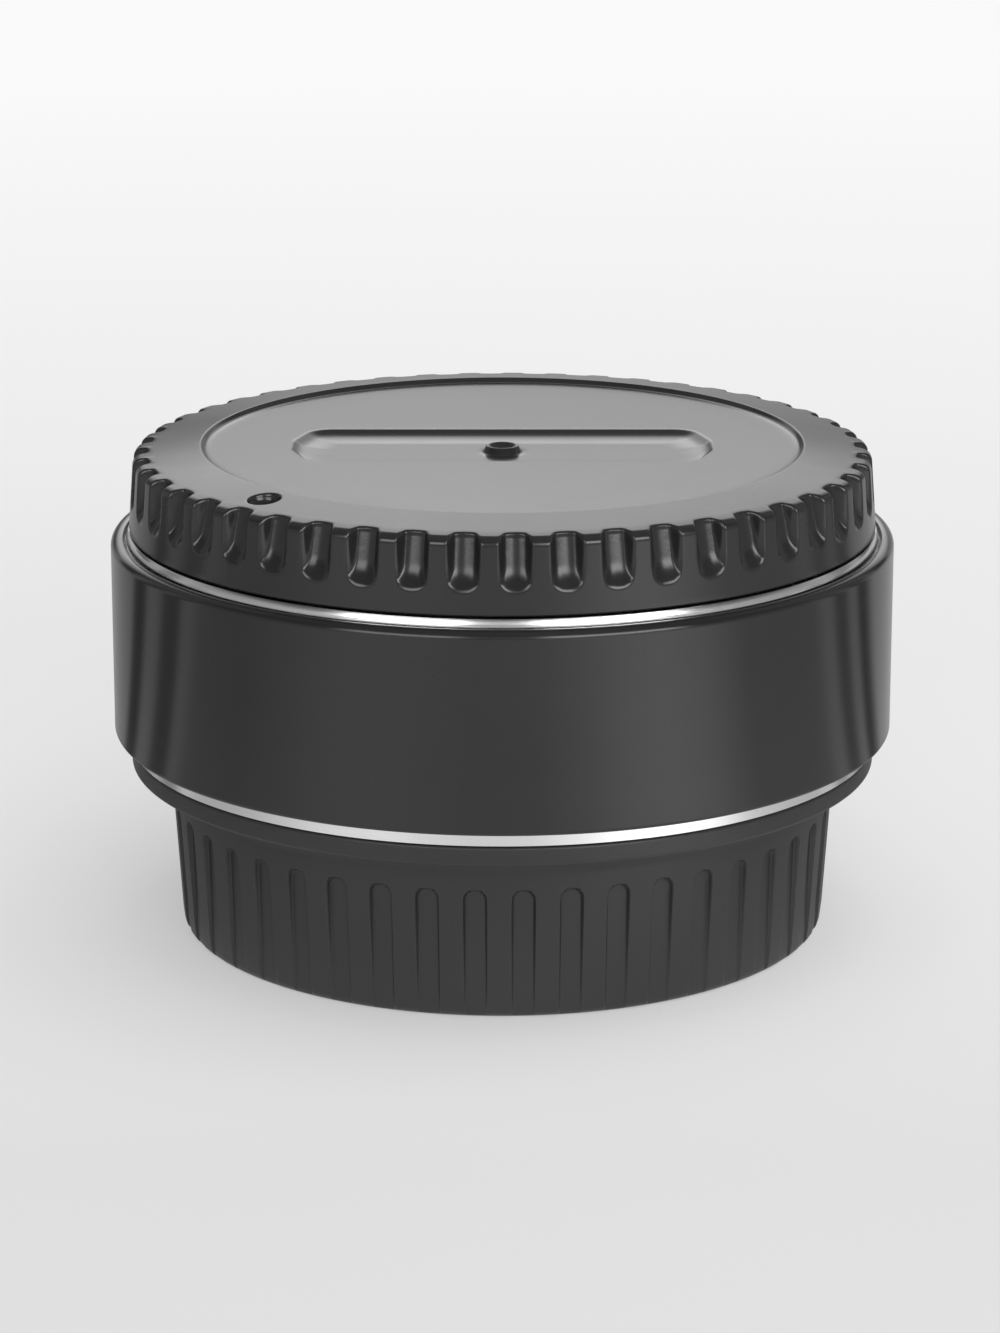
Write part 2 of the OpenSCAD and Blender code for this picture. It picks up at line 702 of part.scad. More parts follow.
// Metal pan between the two mounts that carries everything inside
module chassis() {
    small_tap_r = small_screw_d / 2 + thread_clear;
    color("#2b2c30") difference() {
        union() {
            tube(chassis_r, cell_rear_r + loose_clear, rear_flange_top, floor_top);
            tube(chassis_lip_r, chassis_in_r, rear_flange_top, barrel_bottom);
            tube(chassis_r, chassis_in_r, floor_top - weld, throat_baffle_z);
            tube(chassis_r, chassis_throat_r, throat_baffle_z - weld, chassis_top);
            for (a = post_azimuths) bar(post_d / 2, floor_top - weld, throat_baffle_z, post_r, a);
        }
        for (side = [-1, 1]) at_mount_screws(side)
            translate([0, 0, -mount_screw_l - tapped_extra])
                cylinder(d = mount_screw_d + 2 * thread_clear, h = mount_screw_l);
        block(carrier_in_r - lock_well_room, chassis_r + cut, carrier_w + 2 * loose_clear, lock_well_z,
            chassis_top + cut, lock_azimuth);
        for (a = post_azimuths) {
            bar(small_tap_r, throat_baffle_z - post_tap, throat_baffle_z + cut, post_r, a);
            bar(small_tap_r, rear_flange_top - cut, floor_top + cut, ear_screw_r, a);
        }
        for (side = [-1, 1])
            bar(small_tap_r, rear_flange_top - cut, floor_top + cut, contact_r,
                contact_azimuth + side * block_screw_angle);
        sector(contact_r + tail_d, contact_r - tail_d, rear_flange_top - cut, floor_top + cut,
            contact_azimuth, 2 * contact_span + tail_slot_margin);
    }
}

// Turned outer sleeve, with a recess and a slot for the release knob
module outer_barrel() {
    lip_r = ring_step_r + loose_clear;
    mouth_r = flange_r + flange_side_gap;
    outline = concat(
        [[barrel_in_r, barrel_bottom]],
        arc([barrel_r - barrel_foot_round, barrel_bottom + barrel_foot_round], barrel_foot_round, -90, 0),
        arc([barrel_r - barrel_top_round, barrel_top - barrel_top_round], barrel_top_round, 0, 90),
        [[mouth_r, barrel_top], [mouth_r, front_rim_z], [lip_r, front_rim_z], [lip_r, chassis_top]],
        [[barrel_in_r, chassis_top]]);
    color("#26262a") difference() {
        rotate_extrude($fn = fine_fn) polygon(outline);
        block(recess_floor_r, barrel_r + cut, knob_w + 2 * knob_edge_room,
            knob_z - lock_travel - knob_edge_room, knob_z + knob_h + knob_edge_room, lock_azimuth);
        block(barrel_in_r - cut, barrel_r + cut, stem_w + 2 * loose_clear,
            stem_z - lock_travel - loose_clear, stem_z + stem_h + loose_clear, lock_azimuth);
        rotate([0, 0, top_azimuth]) translate([barrel_r - bead_depth, 0, rear_bead_z]) rotate([0, 90, 0])
            cylinder(d = bead_d + 2 * press_clear, h = cut);
    }
}

// Painted bead on the barrel that lines up with a camera's index
module rear_index_dot() {
    height = bead_depth + bead_dome;
    color("#b3261e") rotate([0, 0, top_azimuth]) translate([barrel_r - bead_depth, 0, rear_bead_z])
        rotate([0, 90, 0]) intersection() {
            cylinder(d = bead_d, h = height);
            translate([0, 0, height - bead_d]) sphere(r = bead_d);
        }
}

// Plated female bayonet that takes a lens
module front_mount_ring() {
    crown_end = asin(sin(crown_start) + ring_proud / front_rim_round);
    crown_centre = [flange_r, barrel_top] - front_rim_round * [cos(crown_start), sin(crown_start)];
    outline = concat(
        [[throat_r, chassis_top], [ring_step_r, chassis_top], [ring_step_r, front_rim_z]],
        [[flange_r, front_rim_z]],
        arc(crown_centre, front_rim_round, crown_start, crown_end),
        [[throat_r, front_seat_z]]);
    color("#dcdcdc") difference() {
        union() {
            rotate_extrude($fn = fine_fn) polygon(outline);
            lugs(throat_r + lug_root, lug_bore_r, front_seat_z - lug_t, front_seat_z - lug_relief,
                female_lug_span, shut_azimuth);
        }
        bar(spring_plate_r + loose_clear, chassis_top - cut, chassis_top + spring_plate_t);
        at_mount_screws(1) countersunk_space(mount_screw_d, mount_head_d, mount_screw_l, running_clear);
        bar(lock_pin_d / 2 + running_clear, chassis_top - cut, front_seat_z + cut, lock_pin_r, lock_azimuth);
        bar(bead_d / 2 + press_clear, front_seat_z - bead_depth, front_seat_z + cut, mount_screw_r,
            top_azimuth);
    }
}

module front_mount_screws() {
    color("#b9babd") at_mount_screws(1) countersunk_screw(mount_screw_d, mount_head_d, mount_screw_l);
}

// Thin plate with three leaf springs under the female lugs
module bayonet_spring() {
    plate_in_r = throat_r + loose_clear;
    plate_top = chassis_top + spring_plate_t;
    color("#a8a49a") difference() {
        union() {
            tube(spring_plate_r, plate_in_r, chassis_top, plate_top);
            lugs(plate_in_r + lug_root, lug_bore_r + leaf_inset, chassis_top, plate_top,
                female_lug_span - leaf_margin, shut_azimuth);
        }
        bar(lock_pin_d / 2 + open_clear, chassis_top - cut, plate_top + cut, lock_pin_r, lock_azimuth);
    }
}

// Painted bead in the lens-side flange that lines up with a lens's index
module front_index_dot() {
    color("#b3261e") bar(bead_d / 2, front_seat_z - bead_depth, front_seat_z, mount_screw_r, top_azimuth);
}

// Black ring that covers the space around the lens cell
module throat_baffle() {
    color("#1b1b1d") difference() {
        tube(chassis_throat_r - loose_clear, cell_r + loose_clear, throat_baffle_z, throat_baffle_top);
        sector(block_out_r + open_clear, cell_r - cut, throat_baffle_z - cut, throat_baffle_top + cut,
            contact_azimuth, 2 * block_span + block_slot_margin);
        for (a = post_azimuths) rotate([0, 0, a]) translate([post_r, 0, throat_baffle_top])
            countersunk_space(small_screw_d, small_head_d, throat_baffle_t + cut, thread_clear);
    }
}

module throat_baffle_screws() {
    color("#4a4b4f") for (a = post_azimuths) rotate([0, 0, a]) translate([post_r, 0, throat_baffle_top])
        countersunk_screw(small_screw_d, small_head_d, throat_baffle_t + post_bite);
}

// Insulator that carries the sprung contact pins
module front_contact_block() {
    color("#1d1d20") difference() {
        sector(block_out_r, front_block_in_r, floor_top, front_block_top, contact_azimuth, 2 * block_span);
        sector(block_out_r + cut, front_block_in_r - cut, floor_top - cut, floor_top + board_t,
            contact_azimuth, 2 * board_span + board_slot_margin);
        for (i = [0:contact_count - 1])
            bar(contact_pin_d / 2 + running_clear, pin_well_z, front_block_top + cut, contact_r,
                contact_angle(i));
        for (side = [-1, 1]) {
            bar(small_screw_d / 2 + thread_clear, floor_top - cut, front_block_top + cut, contact_r,
                contact_azimuth + side * block_screw_angle);
            bar(small_head_d / 2 + loose_clear, front_block_top - head_sink, front_block_top + cut,
                contact_r, contact_azimuth + side * block_screw_angle);
        }
    }
}

// Gilt pins with round tips
module front_contact_pins() {
    tip_z = pin_top - contact_pin_d / 2;
    color("#d9b45a") for (i = [0:contact_count - 1]) {
        bar(contact_pin_d / 2, pin_bottom, tip_z, contact_r, contact_angle(i));
        rotate([0, 0, contact_angle(i)]) translate([contact_r, 0, tip_z]) sphere(d = contact_pin_d);
    }
}

module contact_pin_springs() {
    color("#9a9a9a") for (i = [0:contact_count - 1]) rotate([0, 0, contact_angle(i)])
        translate([contact_r, 0, 0])
            coil(pin_spring_r, pin_spring_wire_d, pin_well_z, pin_bottom, turns = 3, sides = 4);
}

// Long screws that clamp both contact blocks to the chassis floor
module contact_block_screws() {
    head_z = front_block_top - head_sink;
    color("#4a4b4f") for (side = [-1, 1])
        rotate([0, 0, contact_azimuth + side * block_screw_angle]) translate([contact_r, 0, head_z])
            pan_screw(small_screw_d, small_head_d, head_z - rear_flange_top + block_bite);
}

module circuit_board() {
    color("#1f5a36") difference() {
        sector(board_out_r, board_in_r, floor_top, floor_top + board_t, contact_azimuth, 2 * board_span);
        for (i = [0:contact_count - 1])
            bar(tail_d / 2 + press_clear, floor_top - cut, floor_top + board_t + cut, contact_r,
                contact_angle(i));
    }
}

module control_chip() {
    chip_r = block_out_r + chip_gap;
    chip_z = floor_top + board_t;
    color("#111113") block(chip_r, chip_r + chip_w, chip_l, chip_z, chip_z + chip_t, contact_azimuth);
}

// Tube that holds the glass, seated on the chassis floor by three ears
module lens_cell() {
    color("#202124") difference() {
        union() {
            bar(cell_rear_r, cell_bottom, floor_top + weld);
            bar(cell_r, floor_top, cell_top);
            for (a = post_azimuths)
                sector(ear_r, cell_r - lug_root, floor_top, floor_top + ear_t, a, ear_span);
        }
        bar(front_bore_r, stop_front_z, cell_top + cut);
        bar(rear_bore_glass_r, cell_bottom - cut, stop_rear_z);
        bar(stop_r, stop_rear_z - cut, stop_front_z + cut);
        for (a = post_azimuths)
            bar(small_screw_d / 2 + running_clear, floor_top - cut, floor_top + ear_t + cut, ear_screw_r, a);
    }
}

module cell_screws() {
    color("#4a4b4f") for (a = post_azimuths) rotate([0, 0, a]) translate([ear_screw_r, 0, floor_top + ear_t])
        pan_screw(small_screw_d, small_head_d, ear_t + chassis_floor_t - open_clear);
}

// Front element: gently domed face, hollow back
module front_element() {
    aperture = front_glass_r - glass_rim;
    back_top = front_glass_z + sag(front_back_curve, aperture);
    color([0.72, 0.82, 0.88, 0.5]) difference() {
        union() {
            bar(front_glass_r, front_glass_z, front_glass_top);
            dome(front_face_curve, aperture, front_glass_top);
        }
        translate([0, 0, back_top - front_back_curve]) sphere(r = front_back_curve, $fn = fine_fn);
    }
}

// Front half of the cemented pair: hollow on both sides
module doublet_front_element() {
    aperture = front_glass_r - glass_rim;
    joint_top = doublet_joint_z + sag(doublet_joint_curve, front_glass_r);
    face_bottom = doublet_top_z - sag(doublet_face_curve, aperture);
    color([0.74, 0.84, 0.82, 0.5]) difference() {
        bar(front_glass_r, doublet_joint_z, doublet_top_z);
        translate([0, 0, joint_top - doublet_joint_curve]) sphere(r = doublet_joint_curve, $fn = fine_fn);
        translate([0, 0, face_bottom + doublet_face_curve]) sphere(r = doublet_face_curve, $fn = fine_fn);
    }
}

// Rear half of the cemented pair: domed on both sides
module doublet_rear_element() {
    joint_top = doublet_joint_z + sag(doublet_joint_curve, front_glass_r);
    color([0.78, 0.8, 0.88, 0.5]) {
        intersection() {
            bar(front_glass_r, stop_front_z, joint_top + cut);
            translate([0, 0, joint_top - doublet_joint_curve])
                sphere(r = doublet_joint_curve, $fn = fine_fn);
        }
        mirror([0, 0, 1]) dome(doublet_back_curve, stop_r - glass_clear, -stop_front_z);
    }
}

// Rear element: hollow face, domed back
module rear_element() {
    aperture = rear_glass_r - glass_rim;
    face_bottom = stop_rear_z - sag(rear_face_curve, aperture);
    color([0.72, 0.82, 0.88, 0.5]) difference() {
        union() {
            bar(rear_glass_r, rear_glass_z, stop_rear_z);
            mirror([0, 0, 1]) dome(rear_back_curve, aperture, -rear_glass_z);
        }
        translate([0, 0, face_bottom + rear_face_curve]) sphere(r = rear_face_curve, $fn = fine_fn);
    }
}

module element_spacer() {
    color("#161617")
        tube(front_glass_r, front_glass_r - glass_rim + glass_clear, doublet_top_z, front_glass_z);
}

// Threaded ring between two heights, with two spanner slots cut from a height upwards
module retaining_ring(bore_r, z0, z1, slot_z) {
    r = bore_r - thread_clear;
    color("#161617") difference() {
        tube(r, r - glass_rim + glass_clear, z0, z1);
        translate([-r - cut, -ring_slot_w / 2, slot_z]) cube([2 * (r + cut), ring_slot_w, ring_slot_depth]);
    }
}

module front_retaining_ring() {
    top = front_glass_top + front_ring_t;
    retaining_ring(front_bore_r, front_glass_top, top, top - ring_slot_depth);
}

module rear_retaining_ring() {
    bottom = rear_glass_z - rear_ring_t;
    retaining_ring(rear_bore_glass_r, bottom, rear_glass_z, bottom);
}

// Steel pin that drops into a lens's lock slot
module lock_pin() {
    tip_z = front_seat_z + lock_pin_out;
    cone_z = tip_z - lock_pin_tip;
    color("#c9c9cb") {
        bar(lock_pin_d / 2, carrier_top - lock_pin_seat, cone_z, lock_pin_r, lock_azimuth);
        rotate([0, 0, lock_azimuth]) translate([lock_pin_r, 0, cone_z])
            cylinder(d1 = lock_pin_d, d2 = lock_pin_d - 2 * lock_pin_tip, h = lock_pin_tip);
    }
}

module lock_pin_spring() {
    color("#9a9a9a") rotate([0, 0, lock_azimuth]) translate([lock_spring_at_r, 0, 0])
        coil(lock_spring_r, lock_spring_wire_d, lock_well_z, carrier_bottom, turns = 6, sides = 6);
}

// Sliding block that joins the knob to the lock pin
module release_carrier() {
    color("#3a3b3f") difference() {
        block(carrier_in_r, carrier_out_r, carrier_w, carrier_bottom, carrier_top, lock_azimuth);
        bar(lock_pin_d / 2 + press_clear, carrier_top - lock_pin_seat, carrier_top + cut, lock_pin_r,
            lock_azimuth);
        at_release(carrier_out_r - knob_screw_bite, stem_mid_z)
            cylinder(d = small_screw_d + 2 * thread_clear, h = knob_screw_bite + cut);
    }
}

// Ribbed knob in the barrel's recess
module release_knob() {
    rib_pitch = knob_h / knob_ribs;
    color("#2d2d31") difference() {
        union() {
            block(knob_in_r, knob_out_r, knob_w, knob_z, knob_z + knob_h, lock_azimuth);
            block(carrier_out_r, knob_in_r + weld, stem_w, stem_z, stem_z + stem_h, lock_azimuth);
        }
        for (i = [1:knob_ribs - 1]) {
            rib_cut_z = knob_z + rib_pitch * i - rib_cut_w / 2;
            block(knob_out_r - rib_cut_depth, knob_out_r + cut, knob_w + cut, rib_cut_z,
                rib_cut_z + rib_cut_w, lock_azimuth);
        }
        at_release(knob_out_r - rib_cut_depth, stem_mid_z)
            countersunk_space(small_screw_d, small_head_d, knob_out_r - carrier_out_r, thread_clear);
    }
}

module release_knob_screw() {
    head_r = knob_out_r - rib_cut_depth;
    shank = head_r - carrier_out_r + knob_screw_bite - loose_clear;
    color("#b9babd") at_release(head_r, stem_mid_z) countersunk_screw(small_screw_d, small_head_d, shank);
}

// Moulded cap over the lens-side bayonet, set on with its lugs between the female lugs
module body_cap() {
    outline = concat(
        [[0, body_cap_ceiling], [cap_tube_in_r, body_cap_ceiling], [cap_tube_in_r, cap_tube_z]],
        [[neck_r, cap_tube_z], [neck_r, body_cap_ceiling], [skirt_in_r, body_cap_ceiling]],
        [[skirt_in_r, body_cap_z], [skirt_base_r - skirt_edge, body_cap_z]],
        [[skirt_base_r, body_cap_z + skirt_edge]],
        arc([skirt_top_r - skirt_round, rim_edge_z - skirt_round], skirt_round, 0, 90),
        [[recess_r + recess_edge, body_cap_top], [recess_r, body_cap_top - recess_edge / 4]],
        [[recess_r - recess_slope, recess_z], [0, recess_z]]);
    color("#2a2b2e") {
        difference() {
            rotate_extrude($fn = fine_fn) polygon(outline);
            for (i = [0:notch_count - 1])
                rotate([0, 0, front_azimuth + notch_phase + 360 / notch_count * i]) notch();
            translate([0, 0, pocket_z]) linear_extrude(pocket_depth + cut) polygon(pocket_outline());
            bar(dimple_d / 2, body_cap_top - dimple_depth, body_cap_top + cut, dimple_r,
                front_azimuth - dimple_azimuth);
        }
        tube(gate_d / 2, gate_d / 2 - gate_wall, pocket_z - weld, recess_z);
        lugs(male_lug_r, neck_r - lug_root, cap_lug_z, cap_lug_z + lug_t, male_lug_span, open_azimuth);
    }
}

rear_cap();
rear_mount_ring();
rear_mount_screws();
rear_light_baffle();
rear_contact_block();
rear_contact_pads();
chassis();
outer_barrel();
rear_index_dot();
front_mount_ring();
front_mount_screws();
bayonet_spring();
front_index_dot();
throat_baffle();
throat_baffle_screws();
front_contact_block();
front_contact_pins();
contact_pin_springs();
contact_block_screws();
circuit_board();
control_chip();
lens_cell();
cell_screws();
front_element();
doublet_front_element();
doublet_rear_element();
rear_element();
element_spacer();
front_retaining_ring();
rear_retaining_ring();
lock_pin();
lock_pin_spring();
release_carrier();
release_knob();
release_knob_screw();
body_cap();
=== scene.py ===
import json
import math

import bmesh
import bpy
import numpy as np
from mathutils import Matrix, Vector
from mathutils.geometry import delaunay_2d_cdt


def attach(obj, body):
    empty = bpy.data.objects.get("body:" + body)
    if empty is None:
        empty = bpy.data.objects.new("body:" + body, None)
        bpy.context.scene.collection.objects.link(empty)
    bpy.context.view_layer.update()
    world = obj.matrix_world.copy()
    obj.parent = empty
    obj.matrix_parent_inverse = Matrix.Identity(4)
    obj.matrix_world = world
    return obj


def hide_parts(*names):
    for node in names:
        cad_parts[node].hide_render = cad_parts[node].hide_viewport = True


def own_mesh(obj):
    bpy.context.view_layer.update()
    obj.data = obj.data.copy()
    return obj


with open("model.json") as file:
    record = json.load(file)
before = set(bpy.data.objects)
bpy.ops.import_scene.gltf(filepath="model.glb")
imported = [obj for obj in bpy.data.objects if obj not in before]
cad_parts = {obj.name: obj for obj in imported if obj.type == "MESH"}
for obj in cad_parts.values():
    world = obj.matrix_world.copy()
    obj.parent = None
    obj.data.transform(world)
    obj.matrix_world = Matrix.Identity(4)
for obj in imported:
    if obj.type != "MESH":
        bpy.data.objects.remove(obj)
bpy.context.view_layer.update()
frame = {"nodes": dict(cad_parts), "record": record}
nodes = frame["nodes"]

MM = 0.001  # lengths below are in millimetres, as in the part's source
FRONT = -90.0  # azimuth of the side that the photograph shows
TOP = 165.0  # azimuth of the index marks
LOCK = TOP - 90.0  # azimuth of the lens release
LUGS = 3
OUTSIDE = 36.0  # a distance from the axis that is outside everything
CIRCLE = np.linspace(0, 2 * math.pi, 48, endpoint=False)  # angles of a small round loop


# Shapes

def polar(r, azimuth, z):
    """Points at a distance from the axis, an azimuth in degrees and a height; any of them may be arrays."""
    a = np.radians(azimuth)
    r, a, z = np.broadcast_arrays(np.asarray(r, float), a, np.asarray(z, float))
    return np.stack([r * np.cos(a), r * np.sin(a), z], -1)


def arc(centre, r, start, end, steps):
    """Points of an arc in the plane of a profile."""
    return [(centre[0] + r * math.cos(math.radians(a)), centre[1] + r * math.sin(math.radians(a)))
            for a in np.linspace(start, end, steps + 1)]


def smooth(x):
    """Smooth step from 0 to 1."""
    x = np.clip(x, 0, 1)
    return x * x * (3 - 2 * x)


def soft_min(a, b, k):
    """The smaller of two values, rounded where they are closer than k."""
    near = np.maximum(k - np.abs(a - b), 0) / k
    return np.minimum(a, b) - near * near * k / 4


class Skin:
    """A mesh that is put together from rings of points around Z."""

    def __init__(self, azimuths=()):
        self.azimuths = np.asarray(azimuths)
        self.points = []
        self.faces = []
        self.count = 0

    def add(self, points):
        """Adds points and returns their indices."""
        points = np.asarray(points, float).reshape(-1, 3)
        self.points.append(points)
        first = self.count
        self.count += len(points)
        return np.arange(first, self.count)

    def ring(self, r, z):
        """One ring of points; r and z are numbers or one value per azimuth."""
        return self.add(polar(r, self.azimuths, z))

    def rings(self, profile):
        """Rings at the (r, z) points of a profile."""
        return [self.ring(r, z) for r, z in profile]

    def strip(self, a, b, skip=None):
        """Faces between two rings, without the columns in skip."""
        n = len(a)
        for i in range(n):
            if skip is None or i not in skip:
                j = (i + 1) % n
                self.faces.append((a[i], a[j], b[j], b[i]))

    def strips(self, rings):
        """Faces between each ring and the next one."""
        for a, b in zip(rings, rings[1:]):
            self.strip(a, b)

    def fill(self, loops):
        """Nearly flat patch, seen along Z, inside the first loop and outside the others."""
        inner_faces, tolerance = 1, 1e-7
        index = np.concatenate(loops)
        where = np.concatenate(self.points)[index]
        edges, first = [], 0
        for loop in loops:
            n = len(loop)
            edges += [(first + i, first + (i + 1) % n) for i in range(n)]
            first += n
        flat = [Vector((p[0], p[1])) for p in where]
        points, _, faces, origin, _, _ = delaunay_2d_cdt(flat, edges, [], inner_faces, tolerance)
        border, *holes = np.split(where[:, :2], np.cumsum([len(loop) for loop in loops])[:-1])
        for face in faces:
            centre = np.mean([[points[i].x, points[i].y] for i in face], 0)
            if inside(centre, border) and not any(inside(centre, hole) for hole in holes):
                self.faces.append([index[origin[i][0]] for i in face])

    def inlay(self, border, loops):
        """Faces from a border inwards over a row of loops."""
        self.fill([border, loops[0]])
        self.strips(loops)

    def cap(self, ring):
        """One flat face that closes a ring."""
        self.faces.append(list(ring))

    def build(self, name, sharp=35):
        """The finished object, in metres, with smooth shading up to an angle."""
        mesh = bpy.data.meshes.new(name)
        mesh.from_pydata((np.concatenate(self.points) * MM).tolist(), [],
                         [list(map(int, f)) for f in self.faces])
        return finish_mesh(mesh, name, sharp)


def shade(mesh, sharp):
    """Smooth shading up to an angle in degrees."""
    mesh.polygons.foreach_set("use_smooth", [True] * len(mesh.polygons))
    mesh.set_sharp_from_angle(angle=math.radians(sharp))


def finish_mesh(mesh, name, sharp):
    """An object of a mesh, with its faces turned outwards and its shading made even."""
    bm = bmesh.new()
    bm.from_mesh(mesh)
    bmesh.ops.remove_doubles(bm, verts=bm.verts, dist=1e-7)
    bmesh.ops.recalc_face_normals(bm, faces=bm.faces)
    bm.to_mesh(mesh)
    bm.free()
    shade(mesh, sharp)
    obj = bpy.data.objects.new(name, mesh)
    bpy.context.scene.collection.objects.link(obj)
    even = obj.modifiers.new("even_shading", "WEIGHTED_NORMAL")
    even.mode = "FACE_AREA"
    even.keep_sharp = True
    return obj


def inside(p, loop):
    """Whether a point lies in a closed loop of points in the plane."""
    x, y = loop[:, 0], loop[:, 1]
    x2, y2 = np.roll(x, -1), np.roll(y, -1)
    crosses = (y > p[1]) != (y2 > p[1])
    with np.errstate(divide="ignore", invalid="ignore"):
        at = x + (p[1] - y) * (x2 - x) / (y2 - y)
    return bool(np.sum(crosses & (p[0] < at)) % 2)


def rounded_polygon(corners, inset, r, steps=6):
    """Loop of points of a convex polygon, moved inwards, with round corners."""
    corners = [np.array(c, float) for c in corners]
    n = len(corners)
    lines = []
    for i in range(n):
        a, b = corners[i], corners[(i + 1) % n]
        d = (b - a) / np.linalg.norm(b - a)
        inward = np.array([-d[1], d[0]])
        lines.append((a + inward * inset, inward))
    loop = []
    for i in range(n):
        (p, u), (q, v) = lines[i - 1], lines[i]
        # centre of the corner's arc: at distance r inside both edges
        centre = np.linalg.solve(np.array([u, v]), [u @ p + r, v @ q + r])
        start = math.atan2(-u[1], -u[0])
        end = math.atan2(-v[1], -v[0])
        if end < start:
            end += 2 * math.pi
        for a in np.linspace(start, end, steps + 1):
            loop.append(centre + r * np.array([math.cos(a), math.sin(a)]))
    return np.array(loop)


def lug_mask(azimuths, first, span):
    """1 at the azimuths that the lugs cover and 0 elsewhere."""
    turn = (azimuths - first + 180 / LUGS) % (360 / LUGS) - 180 / LUGS
    return (np.abs(turn) <= span / 2).astype(float)


def columns(count, phase, reach, r):
    """Azimuths of a grip pattern, and how far each is along the rim from the middle of its notch."""
    half = math.pi * r / count
    offsets = np.degrees(np.array([-half] + [-u for u in reach[:0:-1]] + reach) / r)
    middle = FRONT + phase + 360 / count * np.arange(count)
    azimuths = (middle[:, None] + offsets[None, :]).ravel()
    return azimuths, np.radians(np.tile(offsets, count)) * r


# Body cap

CAP_SEAT, CAP_TOP, CAP_CEILING = 35.5, 42.6, 40.0
CAP_BASE_R, CAP_TOP_R, CAP_INNER_R = 32.25, 31.85, 30.4
CAP_EDGE, CAP_EDGE_Z = 0.85, 41.95  # round edge between skirt and rim, and the height of its upper end
CAP_CREST_R, CAP_RECESS_Z, CAP_POCKET_Z = 26.0, 42.2, 41.6
DIMPLE_R, DIMPLE_AT = 28.1, FRONT - 44


def skirt_r(z):
    """Radius of the skirt, which narrows towards the top."""
    foot = 0.15
    run = CAP_EDGE_Z - CAP_EDGE - CAP_SEAT - foot
    return CAP_BASE_R + (CAP_TOP_R - CAP_BASE_R) * (z - CAP_SEAT - foot) / run


def rim_z(r):
    """Height of the rim, which rises from its round edge to the crest."""
    edge_r = CAP_TOP_R - CAP_EDGE
    return CAP_EDGE_Z + (CAP_TOP - CAP_EDGE_Z) * (edge_r - r) / (edge_r - CAP_CREST_R)


def notch_floor_r(z):
    """Radius of a notch's floor, which leans in towards the top."""
    r, at_z, lean = 31.24, 38.95, 0.265
    return r - (z - at_z) * lean


def notch_depth(z, u):
    """How far the skirt is cut at a height, for distances along it from the middle of a notch."""
    half, widening, from_z = 1.27, 0.025, 38.9
    slope, steepening = 1.7, 0.38
    foot_z, foot_r, foot_flat, foot_reach, foot_slope = 38.8, 1.25, 0.1, 1.2, 0.62
    hollow, foot_blend, floor_blend = 0.2, 0.12, 0.3
    edge_blend, edge_growth, growth_z, growth_h = 0.16, 0.26, 38.2, 1.2
    up = z - from_z
    side = (half + up * widening - np.abs(u)) * (slope + up * steepening)
    round_ = np.minimum(np.maximum(np.abs(u) - foot_flat, 0), foot_reach)
    foot = (z - foot_z + np.sqrt(foot_r ** 2 - round_ ** 2)) * foot_slope
    floor = skirt_r(z) - notch_floor_r(z) - hollow * u ** 2
    depth = soft_min(soft_min(side, foot, foot_blend), floor, floor_blend)
    # the edge is softer beside the notch than under it
    edge = edge_blend + edge_growth * smooth((z - growth_z) / growth_h)
    return -soft_min(-depth, np.zeros(len(u)), edge)


def cap_skirt(skin, u):
    """Rings from the ceiling inside the skirt, round its foot and over the notches to the rim."""
    foot_round, foot_edge = 0.2, 0.1
    rows = [36.2, 36.8, 37.1, 37.25, 37.35, 37.42, 37.49, 37.56, 37.63, 37.7, 37.8, 37.92, 38.05, 38.2,
            38.35, 38.5, 38.62, 38.74, 38.84, 38.94, 39.04, 39.16, 39.3, 39.5, 39.8, 40.2, 40.6, 40.95]
    rings = skin.rings([(CAP_INNER_R, CAP_CEILING), (CAP_INNER_R, CAP_SEAT + foot_edge),
                        (CAP_INNER_R + foot_edge, CAP_SEAT)])
    rings += skin.rings(arc((CAP_BASE_R - foot_round, CAP_SEAT + foot_round), foot_round, -90, 0, 4))
    rings += skin.rings([(skirt_r(z) - notch_depth(z, u), z) for z in rows])
    # the skirt runs over a round edge into the rim, and the notch's floor over a smaller one
    open_z, floor_rows = 41.0, (41.05, 41.3, 41.55)
    turn_z, turn_by, turn_r = 41.78, (30.51, 42.02), 30.25
    a, b, c = np.array([(notch_floor_r(turn_z), turn_z), turn_by, (turn_r, rim_z(turn_r))])
    floor = [(notch_floor_r(z), z) for z in floor_rows]
    floor += [(1 - t) ** 2 * a + 2 * t * (1 - t) * b + t * t * c for t in np.linspace(0, 1, 6)]
    edge = arc((CAP_TOP_R - CAP_EDGE, CAP_EDGE_Z - CAP_EDGE), CAP_EDGE, 0, 83, len(floor) - 1)
    share = notch_depth(open_z, u)
    share /= share.max()
    return rings + skin.rings([(r0 * (1 - share) + r1 * share, z0 * (1 - share) + z1 * share)
                               for (r0, z0), (r1, z1) in zip(edge, floor)])


def dimple_window(azimuths):
    """Columns of faces that the index dimple takes up."""
    half = 4.6
    off = np.abs((azimuths - DIMPLE_AT + 180) % 360 - 180)
    return [i for i in range(len(azimuths) - 1) if max(off[i], off[i + 1]) < half]


